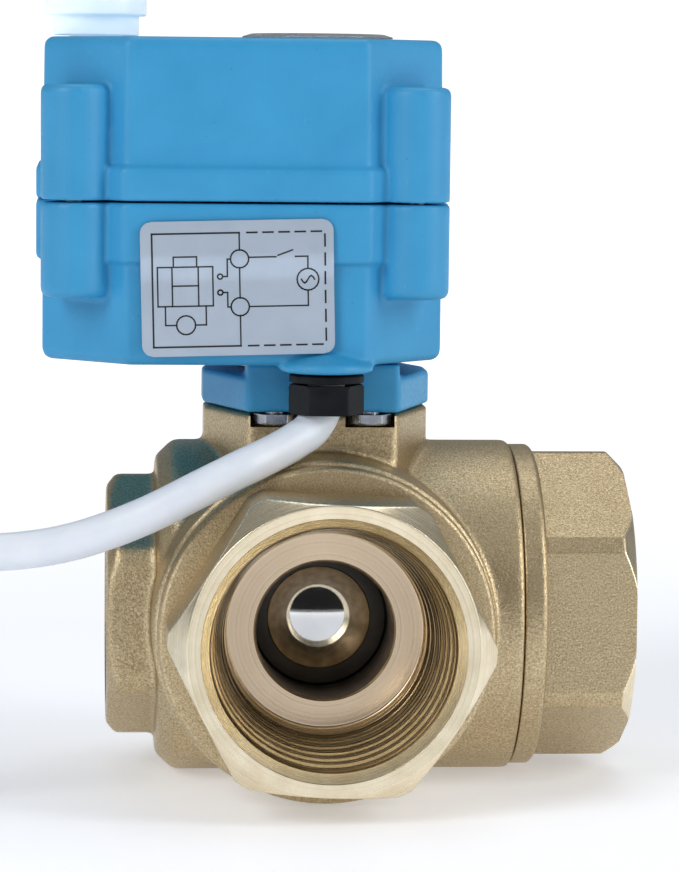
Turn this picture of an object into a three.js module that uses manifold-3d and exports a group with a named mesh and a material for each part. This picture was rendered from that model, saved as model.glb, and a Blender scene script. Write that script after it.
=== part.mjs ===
// Motorised three-way ball valve: a brass T body with screwed end caps, a chrome-plated T-port ball,
// and a two-part plastic actuator with its gear train, limit switches and manual override.
// Millimetres, +Z up. The working origin is the ball's centre: X runs along the two in-line ports,
// -Y is the third port, and Z is the stem. The whole model is then stood on its own underside.

import * as THREE from 'three';
import { mergeVertices } from 'three/addons/utils/BufferGeometryUtils.js';
import Module from 'manifold-3d';

const wasm = await Module();
wasm.setup();

// ---------- driving dimensions ----------

const GAP = 0.3; // between pieces that touch or nearly touch
const PAST = 1; // how far a cutter runs past the face that it cuts
// segments of a large, a medium, a small and a tiny circle
const ROUND = 30;
const MEDIUM_ROUND = 20;
const SMALL_ROUND = 12;
const TINY_ROUND = 8;

// ball, seats and ports
const BALL_R = 17.5;
const PORT_R = 9.6;
const SEAT_R = 12.1;
const SEAT_BACK = 17.9; // from the ball's centre to the back of each seat
const SEAT_LAND = 18.2; // the face that each seat rests on
const CAVITY_R = 18.2;
const SPIGOT_R = CAVITY_R - GAP;

// brass body
const BODY_R = 24.1;
const BODY_LEFT = -23.2;
const BODY_RIGHT = 28.5;
const BODY_FRONT = 28.5;
const LEFT_END = -30.3;
const LEFT_HEX = 34; // across flats
const NECK_TOP = 29.6;
const BOSS_R = 7.8;
const BOSS_TOP = 36.8;

// end caps, along their own axes from the ball's centre
const CAP_END = 45;
const CAP_HEX = 40; // across flats
const CAP_CORNER_R = 22.4;
// where each hexagon's turned chamfer starts, and the radius of the face that it leaves
const RIGHT_CHAMFER = { from: 43, faceR: 20.6 };
const FRONT_CHAMFER = { from: 41.6, faceR: 19.85 };
const RING_R = 23.5;
const RING_END = 31.9;
const THREAD_MOUTH_R = 15.9;
const THREAD_ROOT_R = 14;
const THREAD_DEPTH = 26.1;
const MOUTH_R = 18.04;
const FRONT_CAP_TURN = -3; // degrees that the front cap stopped past square

// stem
const STEM_R = 4;
const STEM_BORE = 4.5;
const STEM_FLANGE_R = 6;
const STEM_SQUARE = 5.6;
const STEM_TOP = 44.4;

// mounting base and its screws
const BASE_TOP = 34.8;
const BASE_BLOCK_TOP = 36.7;
const BASE_FRONT = 18.9;
const BASE_SIDE = 16.4;
const BASE_CORNER = 10.8;
const BASE_SCREWS = [[-1, -1], [1, -1], [1, 1], [-1, 1]].map(([sx, sy]) => [6.7 * sx, 16.9 * sy]);

// actuator housing, about its own centre line
const HOUSING_X = -11.3;
const BAND = { w: 29.1, d: 27.4, c: 12.1 };
const WALLS = { w: 28.2, d: 26.5, c: 11.55 };
const CAVITY = { w: 25.7, d: 24, c: 13.2 };
const BOTTOM = 37;
const FLOOR = 39.6;
const LOWER_LEDGE = 51.1;
const SPLIT = 59.4;
const UPPER_LEDGE = 64.4;
const CEILING = 80;
const TOP = 82.2;
const TOWER = { x: 23.6, y: 22.5, r: 4.8, low: 46.2, high: 75.6 };
const SCREW_HEAD_R = 2;
const SCREW_WELL_R = 2.6;

// gear train: every gear has the same module
const MODULE = 0.8;
const OUTPUT_TEETH = 32;
const SMALL_TEETH = 13;
const BIG_TEETH = 29;
const PINION_TEETH = 10;
const OVERRIDE_X = -31.9;
const BACKLASH = 0.24;
const MOTOR_R = 8.2;

// cord
const CORD_R = 2.6;
const CORE_R = 0.8;
const GLAND_Y = -24.4;
const FLOOR_Z = -BODY_R;
const COIL = { x: -110, y: -3.3, inner: 18, outer: 34.6 };

// ---------- materials ----------

const paint = (color, roughness, metalness = 0) =>
  new THREE.MeshStandardMaterial({ color, roughness, metalness });

const BRASS = paint(0xb59a62, 0.45, 0.9);
const CHROME = paint(0xd8dadc, 0.08, 1);
const STEEL = paint(0xb9bbbd, 0.35, 0.9);
const PTFE = paint(0xf1efe9, 0.5);
const RUBBER = paint(0x1c1c1e, 0.8);
const BLUE = paint(0x4fabd8, 0.45);
const BLACK = paint(0x26262b, 0.5);
const NYLON = paint(0xdfe9f2, 0.35);
const ACETAL = paint(0xe9e4d4, 0.45);
const CLEAR = paint(0xcfe4ee, 0.1);
const BOARD = paint(0x1f6b3a, 0.5);
const SILVER = paint(0xb4b9c6, 0.4, 0.3);
const WHITE = paint(0xe8edf5, 0.45);
const RED = paint(0xb3262a, 0.45);
const MAGENTA = paint(0xd9483b, 0.45);

// ---------- solids ----------

// A closed solid from a geometry: shared corners merged, empty triangles dropped, faces outward.
function solid(geometry) {
  const bare = geometry.clone();
  bare.deleteAttribute('normal');
  bare.deleteAttribute('uv');
  const merged = mergeVertices(bare, 1e-4);
  const p = merged.attributes.position.array;
  const source = merged.index.array;
  const faces = [];
  let volume = 0;
  for (let i = 0; i < source.length; i += 3) {
    const [a, b, c] = [source[i], source[i + 1], source[i + 2]];
    if (a === b || b === c || c === a) continue;
    faces.push(a, b, c);
    const corner = (k) => new THREE.Vector3(p[3 * k], p[3 * k + 1], p[3 * k + 2]);
    volume += corner(a).dot(corner(b).cross(corner(c)));
  }
  const outward = volume > 0 ? faces : faces.reverse();
  return new wasm.Manifold(new wasm.Mesh({
    numProp: 3,
    vertProperties: new Float32Array(p),
    triVerts: new Uint32Array(outward),
  }));
}

function geometryOf(shape) {
  const mesh = shape.getMesh();
  const geometry = new THREE.BufferGeometry();
  geometry.setAttribute('position', new THREE.BufferAttribute(mesh.vertProperties, 3));
  geometry.setIndex(new THREE.BufferAttribute(mesh.triVerts, 1));
  return geometry;
}

const join = (first, ...rest) => rest.reduce((whole, piece) => whole.add(piece), first);
const cut = (first, ...rest) => rest.reduce((whole, piece) => whole.subtract(piece), first);

// Turns a geometry made along +Z to lie along another axis.
const AIM = {
  z: (g) => g,
  right: (g) => g.rotateY(Math.PI / 2),
  left: (g) => g.rotateY(-Math.PI / 2),
  front: (g) => g.rotateX(Math.PI / 2),
  back: (g) => g.rotateX(-Math.PI / 2),
};

// A turned solid: its profile is [radius, height] pairs, closed on itself or from axis to axis.
function turned(profile, segments = ROUND, aim = 'z') {
  const closed = profile[0][0] > 0;
  const points = (closed ? [...profile, profile[0]] : profile).map(([r, z]) => new THREE.Vector2(r, z));
  const geometry = new THREE.LatheGeometry(points, segments);
  geometry.rotateX(Math.PI / 2);
  return solid(AIM[aim](geometry));
}

const rod = (r, low, high, segments = ROUND, aim = 'z') =>
  turned([[0, low], [r, low], [r, high], [0, high]], segments, aim);

const ring = (inner, outer, low, high, segments = ROUND, aim = 'z') =>
  turned([[inner, low], [outer, low], [outer, high], [inner, high]], segments, aim);

const rodAt = (x, y, r, low, high, segments = SMALL_ROUND) => {
  const geometry = new THREE.CylinderGeometry(r, r, high - low, segments);
  return solid(geometry.rotateX(Math.PI / 2).translate(x, y, (low + high) / 2));
};

function box(low, high) {
  const size = high.map((v, k) => v - low[k]);
  const middle = high.map((v, k) => (v + low[k]) / 2);
  return solid(new THREE.BoxGeometry(...size).translate(...middle));
}

// A prism between two heights over an outline of [x, y] pairs.
function prism(outline, low, high, aim = 'z') {
  const shape = new THREE.Shape(outline.map(([x, y]) => new THREE.Vector2(x, y)));
  const geometry = new THREE.ExtrudeGeometry(shape, { depth: high - low, bevelEnabled: false });
  return solid(AIM[aim](geometry.translate(0, 0, low)));
}

function polygon(sides, cornerRadius, turn = 0) {
  return Array.from({ length: sides }, (_, k) => {
    const angle = THREE.MathUtils.degToRad(turn) + (2 * Math.PI * k) / sides;
    return [cornerRadius * Math.cos(angle), cornerRadius * Math.sin(angle)];
  });
}

const hexagon = (acrossFlats, turn = 0) => polygon(6, acrossFlats / Math.sqrt(3), turn);

// A rectangle with its four corners cut at 45 degrees.
function octagon({ w, d, c }, cx = HOUSING_X) {
  const quarter = [[w, d - c], [w - c, d]];
  const turns = [[1, 1, 0], [-1, 1, 1], [-1, -1, 0], [1, -1, 1]];
  return turns.flatMap(([sx, sy, flip]) =>
    (flip ? [...quarter].reverse() : quarter).map(([x, y]) => [cx + sx * x, sy * y]));
}

function torus(r, tube, height, aim = 'z') {
  const section = polygon(5, tube).map(([x, y]) => [r + x, height + y]);
  return turned(section, MEDIUM_ROUND, aim);
}

// ---------- model ----------

const model = new THREE.Group();

function add(name, shape, material, parent = model) {
  const mesh = new THREE.Mesh(geometryOf(shape), material);
  mesh.name = name;
  parent.add(mesh);
  return mesh;
}

// ---------- brass body ----------

function bodyOutside() {
  const run = turned([[0, BODY_LEFT], [21.4, BODY_LEFT], [23.3, BODY_LEFT + 0.9], [BODY_R, BODY_LEFT + 3],
    [BODY_R, BODY_RIGHT], [0, BODY_RIGHT]], ROUND, 'right');
  const branch = rod(BODY_R, 0, BODY_FRONT, ROUND, 'front');
  const hex = prism(hexagon(LEFT_HEX), -BODY_LEFT - 2, -LEFT_END, 'left')
    .intersect(turned([[0, 0], [19.1, 0], [19.1, 29], [17.4, -LEFT_END], [0, -LEFT_END]], ROUND, 'left'));
  const neck = prism(baseOutline(0.2, 1.1), 12, NECK_TOP);
  const boss = rod(BOSS_R, NECK_TOP - PAST, BOSS_TOP, ROUND);
  return join(run, branch, hex, neck, boss);
}

// The outline that the brass neck and the plastic base share: inset all round, and more at the ends.
function baseOutline(inset, ends = inset) {
  const corner = [BASE_CORNER - inset, BASE_FRONT - ends];
  const side = [BASE_SIDE - inset, 3];
  return [
    [-corner[0], -corner[1]], corner.map((v, k) => (k ? -v : v)), [side[0], -side[1]], side,
    corner, [-corner[0], corner[1]], [-side[0], side[1]], [-side[0], -side[1]],
  ];
}

function bodyInside() {
  const alongRun = rod(CAVITY_R, -13, BODY_RIGHT + PAST, ROUND, 'right');
  const alongBranch = rod(CAVITY_R, 0, BODY_FRONT + PAST, ROUND, 'front');
  const leftPocket = rod(SEAT_R + GAP, 0, SEAT_LAND, ROUND, 'left');
  const backPocket = rod(SEAT_R + GAP, 0, SEAT_LAND, ROUND, 'back');
  const leftPort = rod(PORT_R, 0, -LEFT_END, ROUND, 'left');
  const leftMouth = -LEFT_END + 0.1;
  const leftThread = turned([[0, 20.5], [12.5, 20.5], [13.1, 29], [14.2, leftMouth], [0, leftMouth]],
    ROUND, 'left');
  const sealSeats = ['right', 'front'].map((aim) => rod(20.3, 26.4, BODY_RIGHT + PAST, ROUND, aim));
  const stemChamber = rod(STEM_FLANGE_R + GAP, 0, 21.5, MEDIUM_ROUND);
  const stemBore = rod(STEM_BORE, 0, BOSS_TOP + PAST, MEDIUM_ROUND);
  return join(alongRun, alongBranch, leftPocket, backPocket, leftPort, leftThread, ...sealSeats,
    stemChamber, stemBore);
}

function valveBody() {
  const notches = BASE_SCREWS.map(([x, y]) => rodAt(x, y, 3.6, 27.7, NECK_TOP + PAST));
  return cut(bodyOutside(), bodyInside(), ...notches);
}

// ---------- end caps ----------

function endCap(aim, hexTurn, { from, faceR }) {
  const outside = turned([[0, SEAT_LAND], [SPIGOT_R, SEAT_LAND], [SPIGOT_R, BODY_RIGHT + GAP],
    [RING_R, BODY_RIGHT + GAP], [RING_R, RING_END - 0.7], [RING_R - 0.7, RING_END], [0, RING_END]],
  ROUND, aim);
  const nose = rod(14.6, 15, SEAT_LAND + PAST, ROUND, aim);
  const hex = prism(hexagon(CAP_HEX, hexTurn), RING_END - PAST, CAP_END, aim)
    .intersect(turned([[0, 0], [CAP_CORNER_R, 0], [CAP_CORNER_R, from], [faceR, CAP_END], [0, CAP_END]],
      ROUND, aim));
  const seatHole = rod(SEAT_R + GAP, 0, SEAT_LAND, ROUND, aim);
  const port = rod(PORT_R, 0, CAP_END, ROUND, aim);
  const thread = turned([[0, THREAD_DEPTH], [THREAD_ROOT_R, THREAD_DEPTH], [THREAD_ROOT_R, THREAD_DEPTH + 2],
    [THREAD_MOUTH_R, CAP_END - 3], [MOUTH_R, CAP_END + 0.01], [0, CAP_END + 0.01]], ROUND, aim);
  return cut(join(outside, nose, hex), seatHole, port, thread);
}

// ---------- ball, seats and stem ----------

function ball() {
  const sphere = solid(new THREE.SphereGeometry(BALL_R, 24, 12).rotateX(Math.PI / 2));
  const run = rod(PORT_R - 0.1, -20, 20, MEDIUM_ROUND, 'right');
  const branch = rod(PORT_R - 0.1, 0, 20, MEDIUM_ROUND, 'back');
  const slot = box([-6, -2.5, 14.3], [6, 2.5, 20]);
  return cut(sphere, run, branch, slot);
}

function seat(aim) {
  const touch = (r) => Math.sqrt((BALL_R + GAP) ** 2 - r ** 2);
  const radii = [PORT_R + 0.1, 10.8, SEAT_R];
  const face = radii.map((r) => [r, touch(r)]);
  return turned([...face, [SEAT_R, SEAT_BACK], [PORT_R + 0.1, SEAT_BACK]], MEDIUM_ROUND, aim);
}

function stem() {
  const groove = (z) => [[STEM_R, z], [3, z], [3, z + 1.3], [STEM_R, z + 1.3]];
  const shaft = turned([[0, 18.3], [STEM_FLANGE_R, 18.3], [STEM_FLANGE_R, 20], [STEM_R, 20],
    ...groove(23.2), ...groove(26.2), [STEM_R, 37.2], [0, 37.2]], MEDIUM_ROUND);
  const half = STEM_SQUARE / 2;
  const square = box([-half, -half, 37], [half, half, STEM_TOP]);
  const tang = box([-4.5, -2.2, 14.6], [4.5, 2.2, 18.4]);
  return join(shaft, square, tang);
}

// ---------- mounting base ----------

function mountingBase() {
  const low = NECK_TOP + GAP;
  const plate = prism(baseOutline(0), low, BASE_TOP);
  const blocks = [-1, 1].map((side) => {
    const ends = [side * (BASE_FRONT - 7.5), side * BASE_FRONT].sort((a, b) => a - b);
    return box([-BASE_CORNER, ends[0], BASE_TOP - PAST], [BASE_CORNER, ends[1], BASE_BLOCK_TOP]);
  });
  const holes = BASE_SCREWS.map(([x, y]) => rodAt(x, y, 1.7, low - PAST, BASE_BLOCK_TOP + PAST));
  return cut(join(plate, ...blocks), rod(BOSS_R + GAP, low - PAST, BASE_TOP + PAST, ROUND), ...holes);
}

function lockNut() {
  return cut(prism(hexagon(20), BASE_TOP + GAP, 37.9), rod(BOSS_R + GAP, BASE_TOP, 38.5, ROUND));
}

function baseScrew() {
  const head = prism(hexagon(5.5), 0, 1.5);
  return join(head, rod(1.4, 1, 14.6, 12));
}

// ---------- gear train ----------

const pitchRadius = (teeth) => (MODULE * teeth) / 2;
const gearDistance = (a, b) => pitchRadius(a) + pitchRadius(b);

// A spur gear's outline: four points a tooth, with a tooth's middle at the given angle.
function gearOutline(teeth, phase) {
  const r = pitchRadius(teeth);
  const step = (2 * Math.PI) / teeth;
  const pitchHalf = (Math.PI * MODULE / 4 - BACKLASH / 2) / r;
  const slope = Math.tan(THREE.MathUtils.degToRad(20));
  const tip = r + 0.85 * MODULE;
  const root = r - 1.25 * MODULE;
  const tipHalf = pitchHalf - (slope * 0.85 * MODULE) / r;
  const rootHalf = pitchHalf + (slope * 0.9 * MODULE) / r;
  const points = [];
  for (let k = 0; k < teeth; k += 1) {
    const middle = phase + k * step;
    for (const [radius, angle] of [[root, -rootHalf], [tip, -tipHalf], [tip, tipHalf], [root, rootHalf]]) {
      points.push([radius * Math.cos(middle + angle), radius * Math.sin(middle + angle)]);
    }
  }
  return points;
}

// The phase that puts a gear in mesh with its neighbour: bearing is the direction from that neighbour.
function meshingPhase(bearing, fromTeeth, fromPhase, toTeeth) {
  const half = (Math.PI * MODULE) / 2;
  const along = (fromPhase - bearing) * pitchRadius(fromTeeth) + half;
  return bearing + Math.PI - along / pitchRadius(toTeeth);
}

const movedPrism = (outline, at, low, high) =>
  prism(outline.map(([x, y]) => [x + at[0], y + at[1]]), low, high);

// Gear places: the compound gear meshes with the output gear, and both pinions mesh with its big wheel.
const COMPOUND_BEARING = THREE.MathUtils.degToRad(174);
const COMPOUND_AT = [COMPOUND_BEARING].flatMap((a) => {
  const reach = gearDistance(OUTPUT_TEETH, SMALL_TEETH);
  return [reach * Math.cos(a), reach * Math.sin(a)];
});
const PINION_REACH = gearDistance(BIG_TEETH, PINION_TEETH);
const MOTOR_BEARING = THREE.MathUtils.degToRad(255);
const MOTOR_AT = [
  COMPOUND_AT[0] + PINION_REACH * Math.cos(MOTOR_BEARING),
  COMPOUND_AT[1] + PINION_REACH * Math.sin(MOTOR_BEARING),
];
const OVERRIDE_BEARING = Math.acos((OVERRIDE_X - COMPOUND_AT[0]) / PINION_REACH);
const OVERRIDE_AT = [OVERRIDE_X, COMPOUND_AT[1] + PINION_REACH * Math.sin(OVERRIDE_BEARING)];
const GEAR_LOW = { from: 44.2, to: 48.4 };
const GEAR_HIGH = { from: 49.2, to: 52.2 };
const SMALL_PHASE = meshingPhase(COMPOUND_BEARING, OUTPUT_TEETH, 0, SMALL_TEETH);

function outputGear() {
  const hub = [[0, 38.5], [5.9, 38.5], [5.9, GEAR_LOW.from + 0.1], [5, GEAR_LOW.from + 0.1], [5, 55.4]];
  const shaft = turned([...hub, [3, 55.4], [3, CEILING - GAP], [0, CEILING - GAP]], MEDIUM_ROUND);
  const wheel = prism(gearOutline(OUTPUT_TEETH, 0), GEAR_LOW.from, GEAR_LOW.to);
  const half = STEM_SQUARE / 2 + GAP;
  return cut(join(shaft, wheel), box([-half, -half, 38], [half, half, 45]));
}

function compoundGear() {
  const small = movedPrism(gearOutline(SMALL_TEETH, SMALL_PHASE), COMPOUND_AT,
    GEAR_LOW.from, GEAR_HIGH.from + 0.1);
  const big = movedPrism(gearOutline(BIG_TEETH, 0), COMPOUND_AT, GEAR_HIGH.from, GEAR_HIGH.to);
  return cut(join(small, big), rodAt(...COMPOUND_AT, 1.5, 40, 56));
}

function pinionOn(at, bearing) {
  const phase = meshingPhase(bearing, BIG_TEETH, 0, PINION_TEETH);
  return movedPrism(gearOutline(PINION_TEETH, phase), at, GEAR_HIGH.from - 0.2, GEAR_HIGH.to + 0.3);
}

function overrideSpindle() {
  const journal = rodAt(...OVERRIDE_AT, 1.2, 44.4, 50);
  const shaft = rodAt(...OVERRIDE_AT, 2.5, 52, 79);
  const [x, y] = OVERRIDE_AT;
  return cut(join(journal, pinionOn(OVERRIDE_AT, OVERRIDE_BEARING), shaft),
    box([x - 0.7, y - 3, 77.4], [x + 0.7, y + 3, 80]));
}

function cam() {
  const lobe = (turn) => {
    const spread = THREE.MathUtils.degToRad(22);
    const middle = THREE.MathUtils.degToRad(turn);
    const arc = [-1, -0.5, 0, 0.5, 1].map((t) =>
      [8.3 * Math.cos(middle + t * spread), 8.3 * Math.sin(middle + t * spread)]);
    return prism([[0, 0], ...arc], 56, 60);
  };
  return cut(join(rod(6.3, 56, 60, MEDIUM_ROUND), lobe(-90), lobe(0)), rod(3 + GAP, 55, 61, SMALL_ROUND));
}

// ---------- actuator housing ----------

const TOWERS = [[-1, -1], [1, -1], [1, 1], [-1, 1]].map(([sx, sy]) =>
  [HOUSING_X + sx * TOWER.x, sy * TOWER.y]);

// An octagonal block whose lower or upper edge is chamfered.
function block(size, low, high, { foot = 0, head = 0 } = {}) {
  const shrink = (by) => ({ w: size.w - by, d: size.d - by, c: size.c - by * (2 - Math.SQRT2) });
  const middle = prism(octagon(size), low + foot, high - head);
  const edges = [];
  if (foot) edges.push(frustum(shrink(foot), size, low, low + foot));
  if (head) edges.push(frustum(size, shrink(head), high - head, high));
  return join(middle, ...edges);
}

// A frustum between two octagons, as an extrusion whose far ring is moved in.
function frustum(lowSize, highSize, low, high) {
  const base = octagon(lowSize);
  const goal = octagon(highSize);
  const shape = new THREE.Shape(base.map(([x, y]) => new THREE.Vector2(x, y)));
  const geometry = new THREE.ExtrudeGeometry(shape, { depth: high - low, bevelEnabled: false });
  geometry.translate(0, 0, low);
  const p = geometry.attributes.position;
  for (let i = 0; i < p.count; i += 1) {
    if (p.getZ(i) < (low + high) / 2) continue;
    const k = base.findIndex(([x, y]) => Math.hypot(x - p.getX(i), y - p.getY(i)) < 1e-3);
    p.setXY(i, goal[k][0], goal[k][1]);
  }
  return solid(geometry);
}

function lowerHousing() {
  const towers = TOWERS.map(([x, y]) => rodAt(x, y, TOWER.r, TOWER.low, SPLIT));
  const walls = block(WALLS, BOTTOM, SPLIT, { foot: 1.4 });
  const band = block(BAND, LOWER_LEDGE, SPLIT, { foot: 0.6 });
  const shell = cut(join(walls, band, ...towers), prism(octagon(CAVITY), FLOOR, SPLIT + PAST));
  const bearing = rod(9, FLOOR - PAST, 43.2, MEDIUM_ROUND);
  const screwBosses = BASE_SCREWS.map(([x, y]) => rodAt(x, y, 3.2, FLOOR - PAST, 43.6));
  const pinBoss = rodAt(...COMPOUND_AT, 3, FLOOR - 0.5, 43.4);
  const spindlePost = rodAt(...OVERRIDE_AT, 2.8, FLOOR - 0.5, 48.2);
  const posts = PLATE_POSTS.map(([x, y]) => rodAt(x, y, 2, FLOOR - 0.5, 52.9, SMALL_ROUND));
  const cordBoss = turned([[0, 36.1], [6.5, 36.1], [6.5, 37.3], [1.5, 39.2], [0, 39.2]], MEDIUM_ROUND);
  const boss = cut(solid(geometryOf(cordBoss).translate(0, GLAND_Y, 0)),
    box([-BASE_CORNER, -BASE_FRONT - GAP, BOTTOM - 2], [BASE_CORNER, 0, BOTTOM]));
  const whole = join(shell, bearing, ...screwBosses, pinBoss, spindlePost, ...posts, boss);
  return cut(whole,
    rod(12, BOTTOM - PAST, 38.2, MEDIUM_ROUND),
    rod(6.3, 38, 44, MEDIUM_ROUND),
    ...BASE_SCREWS.map(([x, y]) => rodAt(x, y, 1.7, BOTTOM - PAST, 43, TINY_ROUND)),
    rodAt(...COMPOUND_AT, 1.5, 38.2, 44),
    rodAt(...OVERRIDE_AT, 1.5, 44, 49),
    ...PLATE_POSTS.map(([x, y]) => rodAt(x, y, 1.2, 46, 54, TINY_ROUND)),
    ...TOWERS.map(([x, y]) => rodAt(x, y, SCREW_WELL_R, TOWER.low, 49.6)),
    ...TOWERS.map(([x, y]) => rodAt(x, y, 1.6, 49, SPLIT + PAST, TINY_ROUND)),
    rodAt(0, GLAND_Y, 4.2, 36, 37.3),
    coreWay(),
    cut(prism(octagon({ w: 28.1, d: 26.4, c: 14.7 }), SPLIT - 1.2, SPLIT + PAST),
      prism(octagon({ w: 26.3, d: 24.6, c: 13.64 }), SPLIT - 2, SPLIT + 2)));
}

// The slanting way that the cord's two cores take from the gland into the housing.
function coreWay() {
  const from = new THREE.Vector3(0, GLAND_Y, 36.6);
  const to = new THREE.Vector3(0, -19.6, 43);
  const way = to.clone().sub(from);
  const geometry = new THREE.CylinderGeometry(2, 2, way.length(), SMALL_ROUND);
  geometry.applyQuaternion(new THREE.Quaternion().setFromUnitVectors(
    new THREE.Vector3(0, 1, 0), way.clone().normalize()));
  const middle = from.clone().add(to).divideScalar(2);
  return solid(geometry.translate(middle.x, middle.y, middle.z));
}

function upperHousing() {
  const low = SPLIT + GAP;
  const towers = TOWERS.map(([x, y]) => {
    const tower = turned([[0, low], [TOWER.r, low], [TOWER.r, TOWER.high - 0.8], [TOWER.r - 0.8, TOWER.high],
      [0, TOWER.high]], SMALL_ROUND);
    return solid(geometryOf(tower).translate(x, y, 0));
  });
  const shell = cut(
    join(block(WALLS, low, TOP, { head: 1.4 }), block(BAND, low, UPPER_LEDGE, { head: 0.6 }), ...towers),
    prism(octagon(CAVITY), low - PAST, CEILING));
  const plugSeat = rodAt(...OVERRIDE_AT, 6.7, TOP - 0.5, TOP + 0.2, MEDIUM_ROUND);
  return cut(join(shell, plugSeat),
    rod(9.7, CEILING - PAST, TOP + PAST, MEDIUM_ROUND),
    rod(11, TOP - 0.8, TOP + PAST, MEDIUM_ROUND),
    rodAt(...OVERRIDE_AT, 4.3, CEILING - PAST, TOP + PAST),
    ...TOWERS.map(([x, y]) => rodAt(x, y, 1.6, low - PAST, 66.6, TINY_ROUND)));
}

function gasket() {
  const outer = octagon({ w: 27.8, d: 26.1, c: 14.52 });
  const inner = octagon({ w: 26.6, d: 24.9, c: 13.82 });
  return cut(prism(outer, SPLIT - 0.9, SPLIT), prism(inner, SPLIT - 2, SPLIT + PAST));
}

function panHeadScrew(headRadius, headHeight, shankRadius, length) {
  return turned([[0, 0], [headRadius, 0], [headRadius, headHeight], [shankRadius, headHeight],
    [shankRadius, length], [0, length]], TINY_ROUND);
}

// ---------- inside the actuator ----------

const PLATE_POSTS = [[-11.5, -18.5], [6, -14.6], [6, 14.6], [-28, 15]];
const PLATE = { low: 53.2, high: 54.8 };
const STANDOFFS = [[-7.6, -21.4], [3.5, -18.6], [3.5, 18.6], [-10.5, 20.5]];
const BOARD_LOW = 63;
const BOARD_TOP = 64.6;

function gearPlate() {
  const plate = prism(octagon({ w: 25.2, d: 23.5, c: 13.8 }), PLATE.low, PLATE.high);
  const standoffs = STANDOFFS.map(([x, y]) =>
    rodAt(x, y, 1.5, PLATE.high - 0.5, BOARD_LOW - GAP, TINY_ROUND));
  return cut(join(plate, ...standoffs),
    rod(5 + GAP, PLATE.low - PAST, PLATE.high + PAST, MEDIUM_ROUND),
    rodAt(...COMPOUND_AT, 1.5, PLATE.low - PAST, PLATE.high + PAST),
    rodAt(...MOTOR_AT, 2.5, PLATE.low - PAST, PLATE.high + PAST),
    rodAt(...OVERRIDE_AT, 2.5 + GAP, PLATE.low - PAST, PLATE.high + PAST),
    ...PLATE_POSTS.map(([x, y]) => rodAt(x, y, 1.3, PLATE.low - PAST, PLATE.high + PAST, TINY_ROUND)),
    box([-3, -26, PLATE.low - PAST], [3, -20.4, PLATE.high + PAST]));
}

function circuitBoard() {
  const outline = [[-14.5, -23], [0.4, -23], [13.3, -10.2], [13.3, 10.2], [0.4, 23], [-14.5, 23]];
  return cut(prism(outline, BOARD_LOW, BOARD_TOP), rod(3.8, 60, 70, SMALL_ROUND),
    rodAt(...MOTOR_AT, MOTOR_R + 0.5, 60, 70, MEDIUM_ROUND));
}

function limitSwitch(side) {
  const [near, far] = [side * 10.4, side * 16.2];
  const span = [near, far].sort((a, b) => a - b);
  const plunger = [side * 8.7, side * 10.9].sort((a, b) => a - b);
  return join(box([-9.4, span[0], PLATE.high + GAP], [3.4, span[1], 61.2]),
    box([-1, plunger[0], 57], [1, plunger[1], 59]));
}

// ---------- cord gland and cord ----------

function glandBody() {
  const collar = [[2.9, 34.7], [5.2, 34.7], [5.2, 35.8], [3.9, 35.8], [3.9, 37], [2.9, 37]];
  return solid(geometryOf(turned(collar, MEDIUM_ROUND)).translate(0, GLAND_Y, 0));
}

function glandNut() {
  const hex = prism(hexagon(9.2), 30.3, 34.4);
  const bore = turned([[0, 30.2], [4.35, 30.2], [3.7, 32], [3.7, 32.2], [4.1, 32.2], [4.1, 34.5], [0, 34.5]],
    MEDIUM_ROUND);
  return solid(geometryOf(cut(hex, bore)).translate(0, GLAND_Y, 0));
}

// The stretch from the gland to the coil: straight out, over the front branch, then down to the floor.
const CORD_POINTS = [
  [0, GLAND_Y, 37], [0, GLAND_Y, 34.6], [-0.15, -24.45, 32.3], [-0.8, -24.75, 30.2], [-2.2, -25.6, 28.2],
  [-4.4, -27.2, 26.8], [-6.9, -29.3, 25.6], [-9.7, -31.6, 24.5], [-12.5, -33.4, 23.4], [-15.3, -34.2, 22.1],
  [-18.1, -35, 20.8], [-20.8, -35.3, 19.45], [-23.5, -35.4, 18.1], [-26.4, -35.4, 16.8], [-30.2, -35.4, 15.3],
  [-36.1, -35.4, 13.5], [-42.1, -35.3, 12.5], [-46, -35.3, 12.2], [-51.9, -35.3, 11.4], [-57.4, -35.3, 9.2],
  [-62.1, -35.3, 5.5], [-65.7, -35.3, 0.8], [-68, -35.3, -4.7], [-70.3, -35.3, -10.1], [-73.9, -35.3, -14.8],
  [-78.6, -35.3, -18.5], [-84.1, -35.3, -20.7],
  [-89, -35.3, FLOOR_Z + CORD_R], [-92, -35.3, FLOOR_Z + CORD_R],
];

function tubeAlong(points, r, sides, steps) {
  const path = new THREE.CatmullRomCurve3(points.map((p) => new THREE.Vector3(...p)));
  const section = new THREE.Shape(polygon(sides, r).map(([x, y]) => new THREE.Vector2(x, y)));
  return solid(new THREE.ExtrudeGeometry(section, { steps, extrudePath: path, bevelEnabled: false }));
}

function cordCoil() {
  const { inner, outer, x, y } = COIL;
  const top = FLOOR_Z + 2 * CORD_R;
  const section = [[inner + 1.2, FLOOR_Z], [outer - 1.2, FLOOR_Z], [outer, FLOOR_Z + 1.4], [outer, top - 1.4],
    [outer - 1.2, top], [inner + 1.2, top], [inner, top - 1.4], [inner, FLOOR_Z + 1.4]];
  return solid(geometryOf(turned(section, 24)).translate(x, y, 0));
}

// The two stripped cores that end the cord, lying in the middle of the coil.
function lead(side) {
  const start = COIL.inner - 2 * GAP;
  const points = [[start, 1.2, 1.6], [start - 6, 2.4, 1], [start - 13, 3.4, 1], [start - 20, 2.6, 1]];
  const placed = points.map(([along, across, up]) => [COIL.x + along, COIL.y + side * across, FLOOR_Z + up]);
  return tubeAlong(placed, CORE_R, 8, 8);
}

// ---------- top of the actuator ----------

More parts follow.
